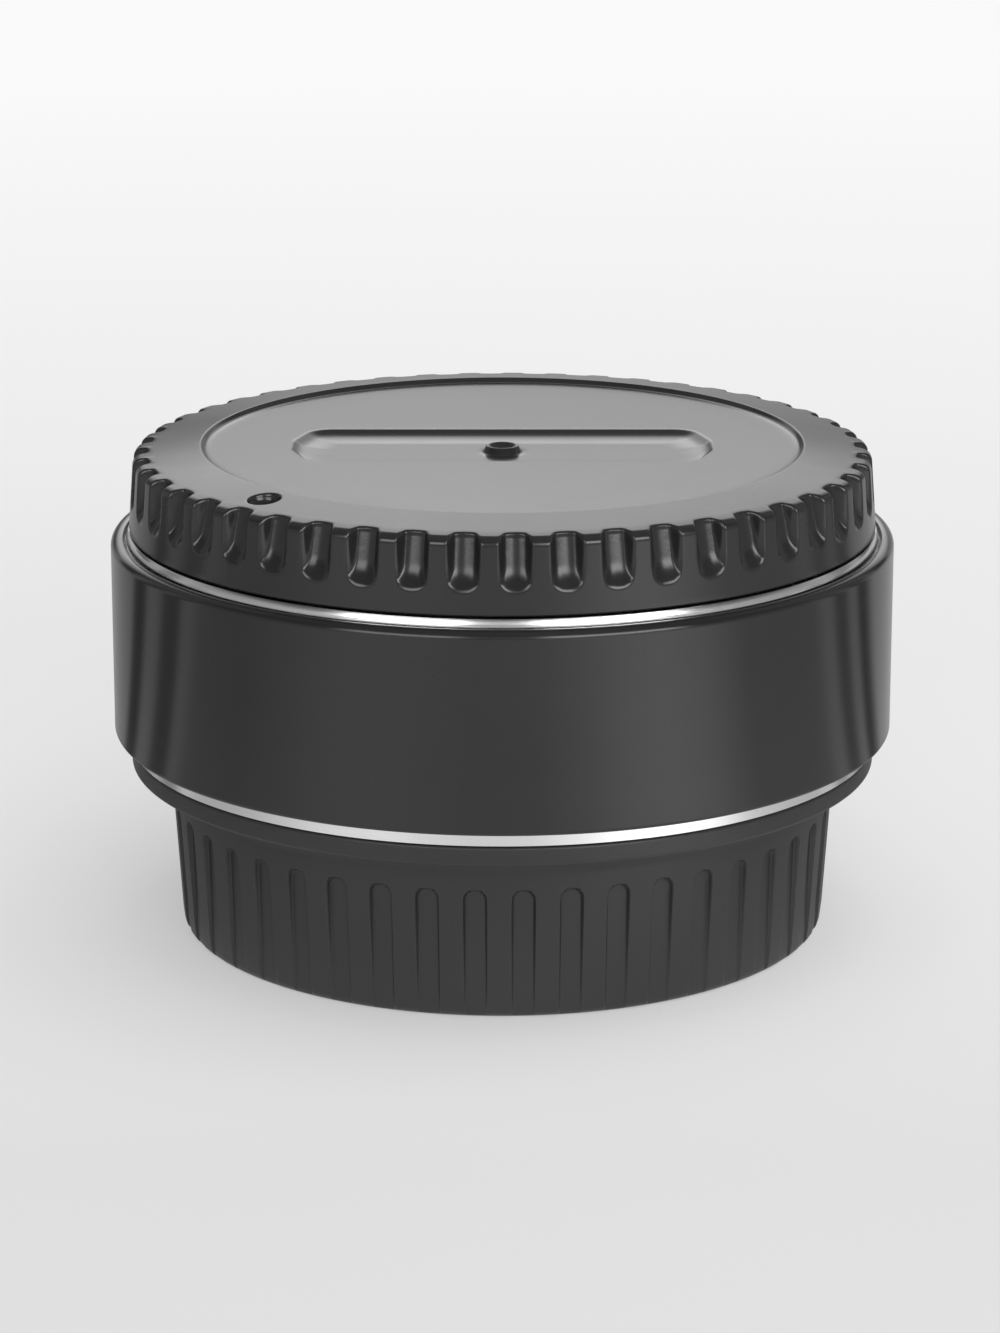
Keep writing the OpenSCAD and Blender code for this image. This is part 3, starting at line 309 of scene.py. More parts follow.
def index_dimple(skin, border):
    """Round dimple in the rim, inside a border."""
    level_drop = 0.5  # from here on the dimple's floor is level
    # radius and drop
    wall = [(1.6, 0.0), (1.5, 0.0), (1.44, 0.02), (1.38, 0.09), (1.34, 0.2), (1.3, 0.42), (1.2, 0.53),
            (1.05, 0.57), (0.6, 0.6), (0.25, 0.61)]
    a = math.radians(DIMPLE_AT)
    middle = np.array([DIMPLE_R * math.cos(a), DIMPLE_R * math.sin(a)])
    loops = []
    for r, drop in wall:
        xy = middle + r * np.stack([np.cos(CIRCLE), np.sin(CIRCLE)], -1)
        flat = smooth(drop / level_drop)
        z = rim_z(np.hypot(xy[:, 0], xy[:, 1])) * (1 - flat) + rim_z(DIMPLE_R) * flat - drop
        loops.append(skin.add(np.column_stack([xy, z])))
    skin.inlay(border, loops)
    skin.cap(loops[-1])


def cap_pocket(skin, border):
    """Eight-sided pocket in the floor of the recess, inside a border; returns its innermost loop."""
    end_x, side_x, end_y, side_y = 18, 16.5, 1.6, 6.1
    corners = [(-end_x, -end_y), (-side_x, -side_y), (side_x, -side_y), (end_x, -end_y),
               (end_x, end_y), (side_x, side_y), (-side_x, side_y), (-end_x, end_y)]
    corner_r, least_corner_r = 2.2, 0.4
    broad_y, broad_h, steep = -5.5, 6, (-0.1, 0.25)
    # inset and share of the depth, at the far side
    wall = [(-1.1, 0), (-0.7, 0), (-0.4, 0), (-0.2, 0), (-0.1, 0.02), (0, 0.06), (0.15, 0.17), (0.35, 0.34),
            (0.55, 0.48), (0.8, 0.62), (1.1, 0.74), (1.5, 0.85), (2.0, 0.93), (2.5, 0.98), (3.0, 1), (3.4, 1)]
    loops = []
    for inset, share in wall:
        xy = rounded_polygon(corners, inset, max(corner_r - inset, least_corner_r))
        # a broad fillet at the far side, and a steep wall towards the camera
        broad = smooth((xy[:, 1] - broad_y) / broad_h)
        drop = share * broad + np.interp(inset, steep, (0, 1)) * (1 - broad)
        z = CAP_RECESS_Z - (CAP_RECESS_Z - CAP_POCKET_Z) * drop
        loops.append(skin.add(np.column_stack([xy, z])))
    skin.inlay(border, loops)
    return loops[-1]


def moulding_cup(skin, border):
    """Small cup that stands in the middle of the pocket, inside a border."""
    # radius and rise
    wall = [(2.4, 0), (1.85, 0), (1.7, 0.02), (1.62, 0.08), (1.44, 0.5), (1.38, 0.57), (1.32, 0.6),
            (1.24, 0.6), (1.17, 0.58), (1.1, 0.52), (0.9, 0.3), (0.8, 0.24), (0.7, 0.22), (0.4, 0.22),
            (0.15, 0.22)]
    loops = []
    for r, rise in wall:
        z = np.full(len(CIRCLE), CAP_POCKET_Z + rise)
        loops.append(skin.add(np.column_stack([r * np.cos(CIRCLE), r * np.sin(CIRCLE), z])))
    skin.inlay(border, loops)
    skin.cap(loops[-1])


def cap_underside(skin, border):
    """From a border inwards: annular ceiling, bayonet tube with lugs, inner ceiling."""
    tube_r, inner_r, tube_z, lug_up = 25.1, 23.4, 31.6, 0.1
    lug_r, lug_t, lug_span, lug_z = 26.7, 1.4, 50, tube_z + lug_up
    root, end = 0.3, 0.15  # bevels at the root and the end of the tube
    tip = tube_r + (lug_r - tube_r) * lug_mask(skin.azimuths, TOP, lug_span)
    rings = skin.rings([
        (tube_r + root, CAP_CEILING), (tube_r, CAP_CEILING - root),
        (tube_r, lug_z + lug_t), (tip, lug_z + lug_t), (tip, lug_z), (tube_r, lug_z),
        (tube_r - end, tube_z), (inner_r + end, tube_z), (inner_r, tube_z + end),
        (inner_r, CAP_CEILING - root), (inner_r - root, CAP_CEILING)])
    skin.strips([border] + rings)
    skin.cap(rings[-1])


def body_cap():
    count, phase = 48, 1.9
    reach = [0, 0.25, 0.42, 0.54, 0.63, 0.71, 0.78, 0.85, 0.92, 0.99, 1.06, 1.13, 1.19, 1.25, 1.3, 1.35, 1.4,
             1.46, 1.56, 1.78]
    # the dimple lies between the last outer and the first inner row of the rim
    outer_rim, inner_rim = (29.94, 29.88, 29.8), (26.45, 26.4, 26.2, 26.08)
    # run and drop of the recess's wall and of the start of its floor
    recess = [(0, 0.003), (0.05, 0.012), (0.1, 0.04), (0.15, 0.085), (0.22, 0.165), (0.3, 0.25),
              (0.38, 0.315), (0.48, 0.36), (0.62, 0.385), (0.85, 0.396), (1.2, 0.4), (1.7, 0.4), (2.3, 0.4),
              (3.0, 0.4), (3.6, 0.4)]
    azimuths, u = columns(count, phase, reach, CAP_TOP_R)
    skin = Skin(azimuths)
    outer_rings = cap_skirt(skin, u) + skin.rings([(r, rim_z(r)) for r in outer_rim])
    inner_rings = skin.rings([(r, rim_z(r)) for r in inner_rim])
    inner_rings += skin.rings([(CAP_CREST_R - run, CAP_TOP - drop) for run, drop in recess])
    window = dimple_window(azimuths)
    skin.strips(outer_rings)
    skin.strip(outer_rings[-1], inner_rings[0], window)
    skin.strips(inner_rings)
    span = window + [window[-1] + 1]
    index_dimple(skin, np.concatenate([outer_rings[-1][span], inner_rings[0][span[::-1]]]))
    moulding_cup(skin, cap_pocket(skin, inner_rings[-1]))
    cap_underside(skin, outer_rings[0])
    return skin.build("body_cap_shell")


# Rear cap

def rear_cap():
    height, collar_r, collar_z, flare_z, flare_h = 16.25, 32.4, 14.55, 12.55, 2.0
    base_r, top_r, well_r, bore_r, bore_z, floor_t = 28.15, 28.95, 25.9, 27.2, 12.15, 1.8
    lug_bore_r, lug_t, lug_span = 25.4, 1.4, 56
    flute_w, flute_depth, foot_depth, flute_top, flute_wall = 1.8, 0.5, 0.12, 11.35, 0.1
    foot, foot_support, under_round, top_round, well_round, edge = 0.8, 0.6, 0.35, 0.25, 0.5, 0.1
    count, phase = 45, 3.5
    reach = [0, 0.35, 0.65, 0.76, 0.8, 0.84, 0.88, 0.92, 0.96, 1.0, 1.08, 1.3]
    azimuths, u = columns(count, phase, reach, base_r)
    skin = Skin(azimuths)
    round_z = flute_top - flute_w / 2

    def depth(z):
        """How deep the flute is at a height, for every column: a slot with a round top and soft walls."""
        outside = np.hypot(u, max(z - round_z, 0)) - flute_w / 2
        share = smooth(0.5 - outside / (2 * flute_wall))
        return (foot_depth + (flute_depth - foot_depth) * z / flute_top) * share

    def wall_r(z):
        return base_r + (top_r - base_r) * z / flare_z

    rings = [skin.ring(base_r - foot - foot_support, 0)]
    # the flutes fade in over the round foot
    fade = 1.5
    rings += skin.rings([(r - depth(z) * smooth(z / foot * fade), z)
                         for r, z in arc((base_r - foot, foot), foot, -90, 0, 9)])
    rows = [1.6, 2.5, 4.5, 6.5, 8.5, 10.0, 10.4, 10.7, 10.9, 11.05, 11.16, 11.24, 11.3, 11.35, 11.4, 11.46,
            11.55, 11.7, 12.1]
    rings += skin.rings([(wall_r(z) - depth(z), z) for z in rows])
    rings += skin.rings(arc((top_r + flare_h, flare_z), flare_h, 180, 112, 12))
    under_collar = (31.2, 14.5)
    rings += skin.rings([under_collar])
    rings += skin.rings(arc((collar_r - under_round, collar_z + under_round), under_round, -84, 0, 6))
    rings += skin.rings(arc((collar_r - top_round, height - top_round), top_round, 0, 90, 5))
    # top of the collar, with narrow faces beside its edges for an even shading
    beside_collar, beside_bore = (0.45, 0.8), (0.7, 0.35, 0.12)
    rings += skin.rings([(collar_r - d, height) for d in beside_collar])
    rings += skin.rings([(bore_r + d, height) for d in beside_bore])
    tip = bore_r + (lug_bore_r - bore_r) * lug_mask(azimuths, TOP, lug_span)
    rings += skin.rings([(bore_r, height - edge), (tip, height - edge), (tip, height - lug_t),
                         (bore_r, height - lug_t), (bore_r, bore_z),
                         (well_r + edge, bore_z), (well_r, bore_z - edge)])
    rings += skin.rings(arc((well_r - well_round, floor_t + well_round), well_round, 0, -90, 4))
    skin.strips(rings)
    skin.cap(rings[0])
    skin.cap(rings[-1])
    return skin.build("rear_cap_shell")


# Outer barrel

def outer_barrel():
    bottom, top, r, inner_r = 17.6, 34.7, 33.85, 31.8
    mouth_r, rim_z, lip_r, lip_z = 32.75, 33.85, 30.95, 33.2
    foot_round, top_round, edge, sharp = 0.4, 0.7, 0.1, 30
    skin = Skin(np.arange(0, 360, 0.5))
    profile = [(inner_r, bottom)] + arc((r - foot_round, bottom + foot_round), foot_round, -90, 0, 7)
    profile += [(r, z) for z in np.linspace(bottom + foot_round, top - top_round, 9)[1:-1]]
    profile += arc((r - top_round, top - top_round), top_round, 0, 90, 10)
    profile += arc((mouth_r + edge, top - edge), edge, 90, 180, 3)
    profile += [(mouth_r, rim_z), (lip_r, rim_z), (lip_r, lip_z), (inner_r, lip_z)]
    rings = skin.rings(profile)
    skin.strips(rings[-1:] + rings)
    barrel = skin.build("barrel_sleeve", sharp)
    # recess and slot of the release knob, and the seat of the index bead
    bead_r, bead_z = 1.02, 20.6
    bead_seat = [(bead_r * math.cos(t), bead_z + bead_r * math.sin(t)) for t in CIRCLE]
    knob_recess = block_section(width=6.8, z0=26.6, z1=33.0, corner=0.5)
    knob_slot = block_section(width=2.6, z0=28.3, z1=31.9)
    for section, r_in, azimuth in ((knob_recess, 33.0, LOCK), (knob_slot, 30, LOCK), (bead_seat, 33.35, TOP)):
        cut_out(barrel, section, r_in, azimuth, sharp)
    return barrel


def block_section(width, z0, z1, corner=0):
    """Section of a block as (across, height), with round corners."""
    half, mid, tall = width / 2, (z0 + z1) / 2, (z1 - z0) / 2
    loop = [(-half, -tall), (half, -tall), (half, tall), (-half, tall)]
    if corner:
        loop = rounded_polygon(loop, 0, corner)
    return [(y, z + mid) for y, z in loop]


def cut_out(obj, section, r_in, azimuth, sharp):
    """Cuts a section out of an object at an azimuth, from a distance from the axis outwards."""
    bm = bmesh.new()
    inner, outer = [[bm.verts.new(Vector((x, y, z)) * MM) for y, z in section] for x in (r_in, OUTSIDE)]
    bm.faces.new(inner[::-1])
    bm.faces.new(outer)
    for i in range(len(section)):
        j = (i + 1) % len(section)
        bm.faces.new((inner[i], inner[j], outer[j], outer[i]))
    bmesh.ops.recalc_face_normals(bm, faces=bm.faces)
    mesh = bpy.data.meshes.new("cutter")
    bm.to_mesh(mesh)
    bm.free()
    cutter = bpy.data.objects.new("cutter", mesh)
    bpy.context.scene.collection.objects.link(cutter)
    cutter.rotation_euler.z = math.radians(azimuth)
    modifier = obj.modifiers.new("cut", "BOOLEAN")
    modifier.operation = "DIFFERENCE"
    modifier.solver = "EXACT"
    modifier.object = cutter
    bpy.context.view_layer.update()
    evaluated = obj.evaluated_get(bpy.context.evaluated_depsgraph_get())
    result = bpy.data.meshes.new_from_object(evaluated)
    obj.modifiers.remove(modifier)
    old = obj.data
    obj.data = result
    bpy.data.meshes.remove(old)
    bpy.data.objects.remove(cutter)
    bpy.data.meshes.remove(mesh)
    shade(obj.data, sharp)


# Springs

def coil_springs(name, places, r, wire, z0, z1, turns, sides=10, steps=24):
    """Coil springs along Z on (distance, azimuth) places: round wire with closed end turns."""
    end_turn, opening, room, sharp = 0.5, 0.6, 1.02, 50
    t = np.linspace(0, turns, turns * steps + 1)
    open_share = smooth((t - end_turn) / opening) * smooth((turns - end_turn - t) / opening)
    mid = (open_share[1:] + open_share[:-1]) / 2
    closed = wire * room
    pitch = ((z1 - z0 - wire) * steps - closed * (1 - mid).sum()) / mid.sum()
    z = z0 + wire / 2 + np.concatenate([[0], np.cumsum((closed + (pitch - closed) * mid) / steps)])
    around = np.linspace(0, 2 * math.pi, sides, endpoint=False)
    reach = r + wire / 2 * np.cos(around)
    turn = 2 * math.pi * t[:, None]
    local = np.stack([reach * np.cos(turn), reach * np.sin(turn), z[:, None] + wire / 2 * np.sin(around)], -1)
    skin = Skin()
    for distance, azimuth in places:
        rings = skin.add(local + polar(distance, azimuth, 0)).reshape(len(t), sides)
        skin.strips(rings)
        skin.cap(rings[0])
        skin.cap(rings[-1])
    return skin.build(name, sharp)


# Materials

class Nodes:
    """Short forms for making and linking the nodes of a material or a world."""

    def __init__(self, owner):
        owner.use_nodes = True
        self.tree = owner.node_tree
        self.tree.nodes.clear()

    def node(self, kind, **settings):
        made = self.tree.nodes.new(kind)
        for key, value in settings.items():
            setattr(made, key, value)
        return made

    def link(self, a, b):
        self.tree.links.new(a, b)

    def put(self, source, target):
        """Gives an input a number, a colour or the value of an output."""
        if isinstance(source, (int, float)):
            target.default_value = source
        elif isinstance(source, tuple):
            target.default_value = (*source, 1)
        else:
            self.link(source, target)

    def calc(self, operation, *sources):
        """One step of arithmetic on numbers and outputs."""
        made = self.node("ShaderNodeMath", operation=operation)
        for source, target in zip(sources, made.inputs):
            self.put(source, target)
        return made.outputs[0]

    def split(self, vector):
        """The outputs X, Y and Z of a vector."""
        made = self.node("ShaderNodeSeparateXYZ")
        self.link(vector, made.inputs[0])
        return made.outputs

    def turn(self, place):
        """Azimuth of a place in radians, from the camera's side over left (-) or right (+)."""
        return self.calc("ARCTAN2", place["X"], self.calc("MULTIPLY", place["Y"], -1.0))

    def ramp(self, source, stops):
        """Colour ramp over a value; stops are (place, colour)."""
        made = self.node("ShaderNodeValToRGB")
        elements = made.color_ramp.elements
        while len(elements) < len(stops):
            elements.new(0.5)
        for element, (place, colour) in zip(elements, stops):
            element.position = place
            element.color = (*colour, 1)
        self.link(source, made.inputs[0])
        return made.outputs[0]

    def around(self, source, stops):
        """Ramp of greys over a whole turn; stops are (degrees, value)."""
        return self.ramp(source, [(degrees / 360 + 0.5, grey(v)) for degrees, v in stops])

    def shine(self, kind, colour):
        """A shader that shines with a colour."""
        made = self.node(kind)
        self.put(colour, made.inputs["Color"])
        return made.outputs[0]

    def mix_shader(self, factor, a, b):
        """The shader a where the factor is 0, and b where it is 1."""
        made = self.node("ShaderNodeMixShader")
        for source, target in zip((factor, a, b), made.inputs):
            self.link(source, target)
        return made.outputs[0]


class Surface(Nodes):
    """A material of procedural nodes around one Principled shader."""

    def __init__(self, name, **sockets):
        self.material = bpy.data.materials.new(name)
        super().__init__(self.material)
        self.output = self.node("ShaderNodeOutputMaterial")
        self.shader = self.node("ShaderNodeBsdfPrincipled")
        self.link(self.shader.outputs[0], self.output.inputs[0])
        self.place = self.node("ShaderNodeTexCoord").outputs["Object"]
        for key, value in sockets.items():
            self.shader.inputs[key.replace("_", " ")].default_value = value

    def noise(self, scale, detail=3.0, rough=0.55, stretch=(1, 1, 1)):
        """Noise at a scale per metre, stretched along the axes."""
        mapping = self.node("ShaderNodeMapping")
        mapping.inputs["Scale"].default_value = [scale * s for s in stretch]
        self.link(self.place, mapping.inputs["Vector"])
        made = self.node("ShaderNodeTexNoise")
        made.inputs["Scale"].default_value = 1.0
        made.inputs["Detail"].default_value = detail
        made.inputs["Roughness"].default_value = rough
        self.link(mapping.outputs[0], made.inputs["Vector"])
        return made.outputs["Fac"]

    def span(self, source, low, high, start=0.3, end=0.7):
        """A value mapped to a range."""
        made = self.node("ShaderNodeMapRange")
        for key, value in {"From Min": start, "From Max": end, "To Min": low, "To Max": high}.items():
            made.inputs[key].default_value = value
        self.link(source, made.inputs["Value"])
        return made.outputs[0]

    def mix(self, factor, a, b):
        """The colour a where the factor is 0, and b where it is 1."""
        made = self.node("ShaderNodeMix", data_type="RGBA")
        self.link(factor, made.inputs["Factor"])
        for source, target in ((a, made.inputs[6]), (b, made.inputs[7])):
            self.put(source, target)
        return made.outputs[2]

    def base(self, source):
        self.link(source, self.shader.inputs["Base Color"])

    def roughness(self, source):
        self.link(source, self.shader.inputs["Roughness"])

    def bump(self, height, strength, distance):
        """Bump of a height, at a distance in metres."""
        made = self.node("ShaderNodeBump")
        made.inputs["Strength"].default_value = strength
        made.inputs["Distance"].default_value = distance
        self.link(height, made.inputs["Height"])
        self.link(made.outputs[0], self.shader.inputs["Normal"])

    def turned(self, strength):
        """Reflections of a surface that was turned round Z: smeared across the tool marks."""
        self.shader.inputs["Anisotropic"].default_value = strength
        self.shader.inputs["Anisotropic Rotation"].default_value = 0.25
        tangent = self.node("ShaderNodeTangent", direction_type="RADIAL", axis="Z")
        self.link(tangent.outputs[0], self.shader.inputs["Tangent"])


def grey(v, tint=(1, 1, 1)):
    return tuple(v * t for t in tint)


def moulded(name, colour, rough, grain):
    """Black moulded plastic with a spark-eroded grain, flow marks, and edges lightened both as wear and as a
    painted highlight.
    """
    cool = (1, 1, 1.03)
    s = Surface(name)
    cloud = s.noise(60, detail=4)
    fine = s.noise(grain, detail=2)
    body = s.ramp(cloud, [(0.3, grey(colour * 0.94, cool)), (0.7, grey(colour * 1.06, cool))])
    # painted highlight: convex edges are lightened, partly as wear and partly for the light that the rims
    # catch
    edge = s.node("ShaderNodeNewGeometry").outputs["Pointiness"]
    wear_and_highlight = s.span(edge, 0, 0.12, start=0.515, end=0.56)
    s.base(s.mix(wear_and_highlight, body, grey(colour * 2.6)))
    s.roughness(s.span(s.noise(180, detail=5), rough - 0.02, rough + 0.02))
    s.bump(fine, strength=0.2, distance=0.00002)
    return s


def metal(name, colour, rough, turned=0.0):
    """Bare or plated metal with fine tool marks."""
    s = Surface(name, Metallic=1.0)
    marks = s.noise(700, detail=3, rough=0.6, stretch=(0.12, 0.12, 14) if turned else (1, 1, 1))
    s.base(s.ramp(s.noise(90), [(0.3, tuple(c * 0.93 for c in colour)), (0.7, colour)]))
    s.roughness(s.span(marks, rough - 0.06, rough + 0.08))
    s.bump(marks, strength=0.15, distance=0.000012)
    if turned:
        s.turned(turned)
    return s


def anodised(name, colour, rough, turned=0.0):
    """Blackened alloy: a dark dyed skin over fine tool marks."""
    cool = (1, 1, 1.04)
    s = Surface(name)
    marks = s.noise(520, detail=4, rough=0.6, stretch=(0.05, 0.05, 24) if turned else (1, 1, 1))
    cloud = s.noise(45, detail=4)
    s.base(s.ramp(cloud, [(0.3, grey(colour * 0.85, cool)), (0.7, grey(colour * 1.15, cool))]))
    s.roughness(s.span(marks, rough - 0.025, rough + 0.03))
    s.bump(marks, strength=0.2, distance=0.000006)
    if turned:
        s.turned(turned)
    return s


def plain(name, low, high, rough, scale, bump=0.1, **sockets):
    """Any other surface: two tones of one colour, with an uneven finish."""
    s = Surface(name, **sockets)
    s.base(s.ramp(s.noise(scale, detail=4), [(0.3, low), (0.7, high)]))
    s.roughness(s.span(s.noise(scale * 3), rough - 0.05, rough + 0.08))
    s.bump(s.noise(scale * 8, detail=2), strength=bump, distance=0.00002)
    return s


def glass():
    """Coated lens glass."""
    s = Surface("lens_glass", Transmission_Weight=1.0, IOR=1.62, Coat_Weight=0.4, Coat_Roughness=0.02)
    s.base(s.ramp(s.noise(30, detail=2), [(0.3, (0.90, 0.97, 0.95)), (0.7, (0.96, 0.95, 1.0))]))
    s.roughness(s.span(s.noise(90), 0.0, 0.02))
    return s


SURFACES = {
    "body_cap_plastic": moulded("body_cap_plastic", 0.016, 0.19, 2600),
    "rear_cap_plastic": moulded("rear_cap_plastic", 0.021, 0.4, 2200),
    "barrel_coat": anodised("barrel_coat", 0.014, 0.17, 0.85),
    "mount_plating": metal("mount_plating", (0.88, 0.88, 0.88), 0.2, 0.4),
    "mount_screw_steel": metal("mount_screw_steel", (0.66, 0.66, 0.66), 0.3),
    "small_screw_steel": metal("small_screw_steel", (0.12, 0.12, 0.13), 0.35),
    "baffle_black": plain("baffle_black", grey(0.008), grey(0.014), 0.75, 400),
    "contact_insulator": plain("contact_insulator", grey(0.016), grey(0.026), 0.5, 300),
    "contact_gilt": metal("contact_gilt", (0.93, 0.70, 0.30), 0.16),
    "chassis_alloy": anodised("chassis_alloy", 0.03, 0.45, 0.4),
    "index_paint": plain("index_paint", (0.42, 0.02, 0.015), (0.52, 0.03, 0.02), 0.22, 500, 0.05,
                         Coat_Weight=0.5),
    "leaf_steel": metal("leaf_steel", (0.66, 0.62, 0.55), 0.25),
    "coil_steel": metal("coil_steel", (0.62, 0.62, 0.62), 0.25),
    "board_laminate": plain("board_laminate", (0.012, 0.09, 0.035), (0.02, 0.13, 0.05), 0.35, 600),
    "chip_resin": plain("chip_resin", grey(0.012), grey(0.018), 0.55, 900),
    "cell_alloy": anodised("cell_alloy", 0.016, 0.5, 0.4),
    "lens_glass": glass(),
    "pin_steel": metal("pin_steel", (0.78, 0.78, 0.77), 0.18, 0.3),
    "carrier_alloy": metal("carrier_alloy", (0.5, 0.5, 0.51), 0.38),
    "knob_coat": anodised("knob_coat", 0.02, 0.4),
}
slots = {s["node"]: s["material_slot"] for s in frame["record"]["subparts"]}


def coat(obj, node):
    """Gives an object the material of a node."""
    obj.data.materials.clear()
    obj.data.materials.append(SURFACES[slots[node]].material)


for name, obj in nodes.items():
    coat(obj, name)

# Pieces that stand in for a node

for make, node, body in ((body_cap, "body_cap", "body_cap"), (rear_cap, "rear_cap", "rear_cap"),
                         (outer_barrel, "outer_barrel", "converter")):
    piece = make()
    coat(piece, node)
    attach(piece, body)
    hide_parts(node)

# springs that give way in the part as the lens release and the contact pins go down; the coils are built at
# their rest length
CONTACTS, CONTACT_STEP, CONTACT_R = 8, 6.6, 21.5
pin_places = [(CONTACT_R, TOP + 180 + (i - (CONTACTS - 1) / 2) * CONTACT_STEP) for i in range(CONTACTS)]
lock_place = (29.825, LOCK)
for node, places, r, wire, z0, z1, turns, joint, travel in (
        ("lock_pin_spring", [lock_place], 1.05, 0.36, 22.42, 28.88, 6, "release_slide", 1.8),
        ("contact_pin_springs", pin_places, 0.37, 0.2, 22.5, 26.19, 8, "contact_pins_press", 0.8)):
    piece = coil_springs(f"{node}_coils", places, r, wire, z0, z1, turns)
    coat(piece, node)
    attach(piece, "converter")
    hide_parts(node)
    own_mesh(piece)


# Studio: brightness by azimuth in degrees, from the camera's side over left (-) or right (+)

# half the brightness of the tent, and of the table's gleam
TENT = [(-158, 0.28), (-147, 0.24), (-144, 0.04), (-134, 0.04), (-131, 0.18), (-125, 0.18), (-122, 0.09),
        (-114, 0.09), (-112, 0.2), (-106, 0.15), (0, 0.15), (110, 0.15), (116, 0.2), (119, 0.09), (128, 0.09),
        (130, 0.18), (135, 0.18), (138, 0.04), (148, 0.04), (151, 0.24), (158, 0.28)]
TABLE = [(-180, 0.25), (-125, 0.19), (-122, 0.035), (-116, 0.035), (-113, 0.23), (-107, 0.23), (-104, 0.07),
         (-97, 0.07), (-95, 0.34), (-92, 0.32), (-88, 0.2), (-70, 0.21), (-45, 0.38), (-28, 0.42), (-8, 0.35),
         (8, 0.36), (20, 0.5), (32, 0.74), (42, 0.82), (52, 0.7), (66, 0.32), (92, 0.22), (96, 0.34),
         (100, 0.34), (102, 0.09), (107, 0.08), (109, 0.27), (113, 0.27), (115, 0.04), (119, 0.04),
         (125, 0.27), (180, 0.25)]
# the table's gleam close to the foot of the object
FOOT = [(-180, 0.25), (-150, 0.22), (-90, 0.3), (-45, 0.6), (0, 0.72), (45, 0.68), (90, 0.4), (150, 0.28),
        (180, 0.25)]
# the table as the camera sees it, along Y from FLOOR_Y's first to its second value in metres, and far off;
# the tones hold a painted shadow just in front of the object and darken towards the camera
FLOOR_Y = (-0.62, 0.88)
FLOOR_TONES_WITH_PAINTED_SHADE = [(0.0, 0.95), (0.213, 0.85), (0.333, 0.62), (0.373, 0.6), (0.42, 0.75), (0.467, 0.77),
               (0.553, 0.87), (0.667, 0.94), (0.8, 0.97)]
FAR_TONE = 0.95
BACKGROUND = 0.92  # what the camera sees around the table
AMBIENT = 0.5  # even light on matt surfaces
OVERHEAD = 0.15  # brightness above the tent
BACKDROP_GAIN, BOX_GAIN = 1.7, 6.0


def studio_floor():
    """Pale table with the object's shadow and a painted shadow in front of it; it shines further off, and has
    painted panels of light where it is mirrored.
    """
    bpy.ops.mesh.primitive_grid_add(x_subdivisions=4, y_subdivisions=4, size=6, location=(0, 0, -0.00002))
    floor = bpy.context.object
    floor.name = "studio_floor"
    s = Surface("studio_floor", Roughness=0.8)
    s.base(s.ramp(s.noise(8), [(0.3, grey(0.80)), (0.7, grey(0.82))]))
    length = s.node("ShaderNodeVectorMath", operation="LENGTH")
    s.link(s.place, length.inputs[0])
    far = length.outputs["Value"]
    place = s.split(s.place)
    # painted shade: the glow is darker towards the camera and darkest just in front of the object
    tone = s.ramp(s.span(place["Y"], 0, 1, *FLOOR_Y), [(at, grey(v)) for at, v in FLOOR_TONES_WITH_PAINTED_SHADE])
    tone = s.mix(s.span(far, 0, 1, start=0.15, end=0.6), tone, grey(FAR_TONE))
    glow_with_painted_shade = s.shine("ShaderNodeEmission", tone)
    # painted light: near the object the glow is 0.56 of the floor and lightens its real shadow; from 0.5 m
    # off it is the whole floor
    seen = s.mix_shader(s.span(far, 0.56, 1, start=0.05, end=0.5), s.shader.outputs[0], glow_with_painted_shade)
    # painted reflections: what the object mirrors of the table, panels that glow only for glossy rays
    turn = s.span(s.turn(place), 0, 1, -math.pi, math.pi)
    painted_panels = s.around(turn, [(at, 2 * v) for at, v in TABLE])
    foot = s.around(turn, FOOT)
    mirrored = s.shine("ShaderNodeEmission", s.mix(s.span(far, 0, 1, start=0.04, end=0.08), foot, painted_panels))
    above = s.mix_shader(s.node("ShaderNodeLightPath").outputs["Is Glossy Ray"], seen, mirrored)
    # from below the table is clear, so that the foot of the object can be seen
    clear = s.node("ShaderNodeBsdfTransparent").outputs[0]
    below = s.node("ShaderNodeNewGeometry").outputs["Backfacing"]
    s.link(s.mix_shader(below, above, clear), s.output.inputs[0])
    floor.data.materials.append(s.material)


def lamp(name, location, target, size, power):
    """Soft box that isn't mirrored."""
    data = bpy.data.lights.new(name, "AREA")
    data.shape = "RECTANGLE"
    data.size, data.size_y = size
    data.energy = power
    obj = bpy.data.objects.new(name, data)
    bpy.context.scene.collection.objects.link(obj)
    obj.location = location
    obj.rotation_euler = (Vector(target) - Vector(location)).to_track_quat("-Z", "Y").to_euler()
    obj.visible_glossy = False


